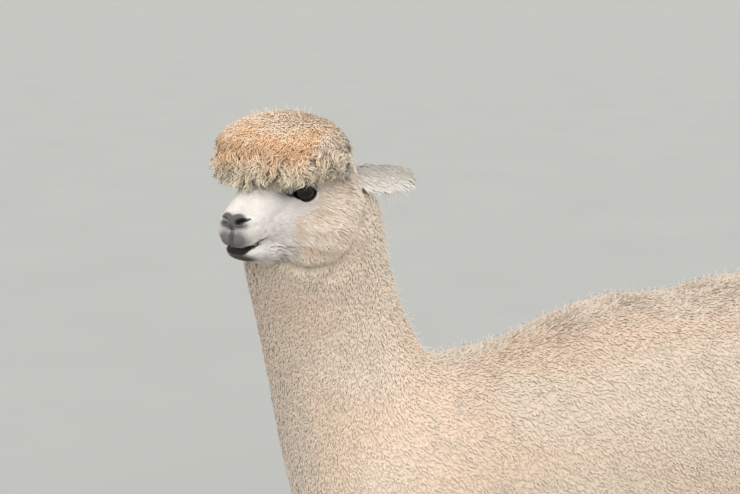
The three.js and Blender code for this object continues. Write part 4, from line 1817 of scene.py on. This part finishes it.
    def lash_fan(self, material: bpy.types.Material) -> bpy.types.Object:
        """The upper lashes: thin curved cones along the upper rim."""
        rng = np.random.default_rng(5 if self.side == "left" else 6)
        bm = bmesh.new()
        for index in range(self.lashes):
            share = (index + rng.uniform(0.2, 0.8)) / self.lashes
            angle = math.radians(36 + 134 * share)
            root = self.on_ball(*self.rim(angle, 0.8), 21.8)
            out = Vector(self.axis) * 0.85 + Vector(self.front) * (0.55 * math.cos(angle))
            out += Vector((0, 0, 0.02))
            out = (out + Vector(rng.normal(size=3)) * 0.1).normalized()
            long = rng.uniform(6.0, 9.5) * MM
            turn = Vector((0, 0, 1)).rotation_difference(out).to_matrix()
            ring = bmesh.ops.create_circle(bm, segments=3, radius=self.thick * MM)["verts"]
            edges = list({edge for vert in ring for edge in vert.link_edges})
            for step in range(5):
                t = step / 4
                if step:
                    made = bmesh.ops.extrude_edge_only(bm, edges=edges)["geom"]
                    edges = [g for g in made if isinstance(g, bmesh.types.BMEdge)]
                    ring = [g for g in made if isinstance(g, bmesh.types.BMVert)]
                    edges = [e for e in edges if all(v in ring for v in e.verts)]
                middle = root + out * (long * t) + Vector((0, 0, -0.4 * long * t * t))
                for k, vert in enumerate(ring):
                    angle = self.facet * k
                    around = Vector((math.cos(angle), math.sin(angle), 0))
                    vert.co = middle + turn @ (around * (self.thick * MM * (1.05 - t)))
        bmesh.ops.recalc_face_normals(bm, faces=bm.faces)
        return self.finished(bm, f"lashes_{self.side}", material)


@dataclass
class Ear:
    """One ear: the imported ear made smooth, with short hair and a hanging fringe.

    Attributes:
        side: left or right.
        fringe: how many long wisps hang from its lower edge.
        inset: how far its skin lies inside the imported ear, in millimetres.
    """

    side: str
    fringe: int = 24
    inset: float = 0.9

    def dress(self, hide: Hide, finish: bpy.types.Material) -> Skin:
        """Makes the ear's skin.

        Args:
            hide: the maker of the body's skin, for its mesh helpers.
            finish: the ear's own finish.
        """
        node = f"ear_{self.side}"
        mesh = hide.copies((node,), -self.inset * MM)
        mesh = hide.applied(mesh, "SUBSURF", levels=1, render_levels=1)
        skin = Skin.of(mesh)
        bpy.data.meshes.remove(mesh)
        skin.points = skin.even(skin.points, 2, 0.5)
        made = new_mesh(f"ear_skin_{self.side}", skin.points, skin.faces)
        paint(made, MARKS.ear(skin.points) * 0.95)
        bare = made.attributes.new("bare", "FLOAT", "POINT")
        bare.data.foreach_set("value", np.zeros(len(skin.points), np.float32))
        made.materials.append(finish)
        obj = new_object(made.name, made)
        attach(obj, "root")
        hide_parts(node)
        return skin

    def grow(self, coat: Coat, skin: Skin, finish: bpy.types.Material) -> None:
        """Grows the ear's hair, and the wisps along its lower edge.

        Args:
            coat: the coat that the hair belongs to.
            skin: the ear's skin.
            finish: the hair's finish.
        """
        base = HEAD.place(-72, 62 * SIGNS[self.side], 14)
        middle = skin.points.mean(0)
        axis = unit(middle - base)
        normals = skin.normals()
        growth = GROWTH[Zone.EAR]
        faces, parts = scatter(skin, np.full(len(skin.points), 1 / (growth.spacing * MM) ** 2), coat.rng)
        corners = skin.faces[faces]
        place = (skin.points[corners] * parts[..., None]).sum(1)
        normal = unit((normals[corners] * parts[..., None]).sum(1))
        n = len(place)
        share = np.zeros((n, len(Zone)))
        share[:, Zone.EAR.value] = 1
        lie = laid(axis[None] + 0.3 * DOWN, normal)
        values = {key: np.full(n, float(getattr(growth, key))) for key in FIELDS}
        along = (place - base) @ axis
        along = along / along.max()
        values["spare"] = np.full(n, 90.0)
        rel = place - base
        drop = (rel - (rel @ axis)[:, None] * axis)[:, 2] / MM
        low = ease(-6, -21, drop)
        values["length"] *= 1 + 0.2 * ease(0.75, 1.0, along) + 0.8 * low
        values["lift"] += 8 * low
        lie = unit(lie + low[:, None] * (0.8 * DOWN))
        roots = coat.settled(place, normal, lie, share, values, np.full(n, f"ear_{self.side}"))
        edge = np.flatnonzero((low > 0.9) & (along > 0.42) & (along < 0.82))
        chart = partial(wrapped_angle, base=base, axis=axis)
        tuft = Tuft(2, 0.5, 0.4, level=0.6)
        coat.piece(f"ear_hair_{self.side}", roots, tuft, chart, finish)
        m = min(self.fringe, len(edge))
        wisps = roots.only(coat.rng.choice(edge, m, replace=False))
        wisps.length = coat.rng.uniform(20, 42, m) * MM
        wisps.width = np.full(m, 0.45 * MM)
        wisps.lie = unit(DOWN[None] + 0.3 * axis + coat.rng.normal(size=(m, 3)) * 0.2)
        wisps.normal = unit(np.cross(wisps.lie, axis))
        wisps.lift = np.full(m, 0.1)
        wisps.curl = coat.rng.uniform(2.0, 6.0, m) * MM
        tuft = Tuft(7, 0.6, 0.7, 0.5, level=0.0)
        coat.piece(f"ear_fringe_{self.side}", wisps, tuft, chart, finish)


class Nails:
    """The eight toenails, which stay as packed."""

    def dress(self) -> None:
        """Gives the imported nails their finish."""
        horn = HornFinish("nail_horn").material()
        names = [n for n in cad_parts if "_nail_" in n]
        for name in names:
            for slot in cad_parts[name].material_slots:
                slot.material = horn
        LOG.info("nails: %d", len(names))


# ------------------------------------------------------------------ the studio


@dataclass
class Studio:
    """The floor, the soft lights and the camera.

    Attributes:
        azimuth: where the camera stands, from the animal's front round to its left, in degrees.
        pitch: how far it looks down, in degrees.
        stand: where it stands.
        focal: its focal length, in pixels.
        wide: how many pixels lie across its view.
    """

    azimuth: float = 75.0
    pitch: float = 11.35
    stand: tuple[float, float, float] = (2.2268, -0.9403, 1.5896)
    focal: float = 1430.0
    wide: int = 740

    def axes(self) -> Matrix:
        """The camera's right, up and back, as a rotation."""
        a, p = math.radians(self.azimuth), math.radians(self.pitch)
        back = Vector((math.sin(a) * math.cos(p), -math.cos(a) * math.cos(p), math.sin(p)))
        right = Vector((math.cos(a), math.sin(a), 0))
        return Matrix((right, back.cross(right), back)).transposed().to_4x4()

    def camera(self) -> None:
        """Adds the camera."""
        data = bpy.data.cameras.new("camera")
        data.sensor_fit = "HORIZONTAL"
        data.lens = self.focal / self.wide * data.sensor_width
        data.clip_end = 500
        obj = bpy.data.objects.new("camera", data)
        bpy.context.scene.collection.objects.link(obj)
        obj.matrix_world = Matrix.Translation(Vector(self.stand)) @ self.axes()
        bpy.context.scene.camera = obj

    def sun(
        self, name: str, towards: Sequence[float], spread: float, power: float, tone: Sequence[float]
    ) -> None:
        """Adds a far, soft light.

        Args:
            name: its name.
            towards: the way to it.
            spread: how wide it looks, in degrees.
            power: its strength.
            tone: its colour.
        """
        data = bpy.data.lights.new(name, "SUN")
        data.angle, data.energy, data.color = math.radians(spread), power, tone
        obj = bpy.data.objects.new(name, data)
        bpy.context.scene.collection.objects.link(obj)
        obj.rotation_euler = Vector(towards).to_track_quat("Z", "Y").to_euler()

    def build(self) -> None:
        """Sets up floor, lights, air and camera."""
        bm = bmesh.new()
        bmesh.ops.create_grid(bm, x_segments=4, y_segments=4, size=60.0)
        mesh = bpy.data.meshes.new("floor")
        bm.to_mesh(mesh)
        bm.free()
        mesh.materials.append(PlainFinish("studio_floor", (0.42, 0.43, 0.42), 0.9, 1.5).material())
        new_object("floor", mesh)
        self.sun("key", (0.72, 0.0, 0.82), 60.0, 2.05, (1.0, 0.975, 0.94))
        self.sun("fill", (0.6, -0.75, 0.35), 80.0, 0.4, (1.0, 0.98, 0.96))
        world = bpy.data.worlds.new("air")
        world.use_nodes = True
        world.node_tree.nodes["Background"].inputs["Color"].default_value = (1.0, 0.985, 0.96, 1)
        world.node_tree.nodes["Background"].inputs["Strength"].default_value = 0.8
        bpy.context.scene.world = world
        bpy.context.scene.view_settings.view_transform = "Standard"
        self.camera()


def main() -> None:
    """Builds the scene in order."""
    logging.basicConfig(level=logging.INFO, format="%(name)s: %(message)s")
    Studio().build()
    hide = Hide()
    pelt = hide.build()
    skin_material = pelt.dress(HideFinish("face_skin")).data.materials[0]
    LOG.info("skin: %d triangles", len(pelt.skin.faces))
    lash = PlainFinish("lashes", (0.62, 0.57, 0.52), 0.6, 60.0).material()
    for side in SIDES:
        Eye(side).build(pelt, skin_material, lash)
    coat = Coat(pelt)
    coat.build()
    hair = FleeceFinish("ear_hair", grain=1400.0, mottle=0.12, relief=0.0003, soft=0.2).material()
    for side in SIDES:
        ear = Ear(side)
        ear.grow(coat, ear.dress(hide, skin_material), hair)
    Nails().dress()


if __name__ == "__main__":
    main()
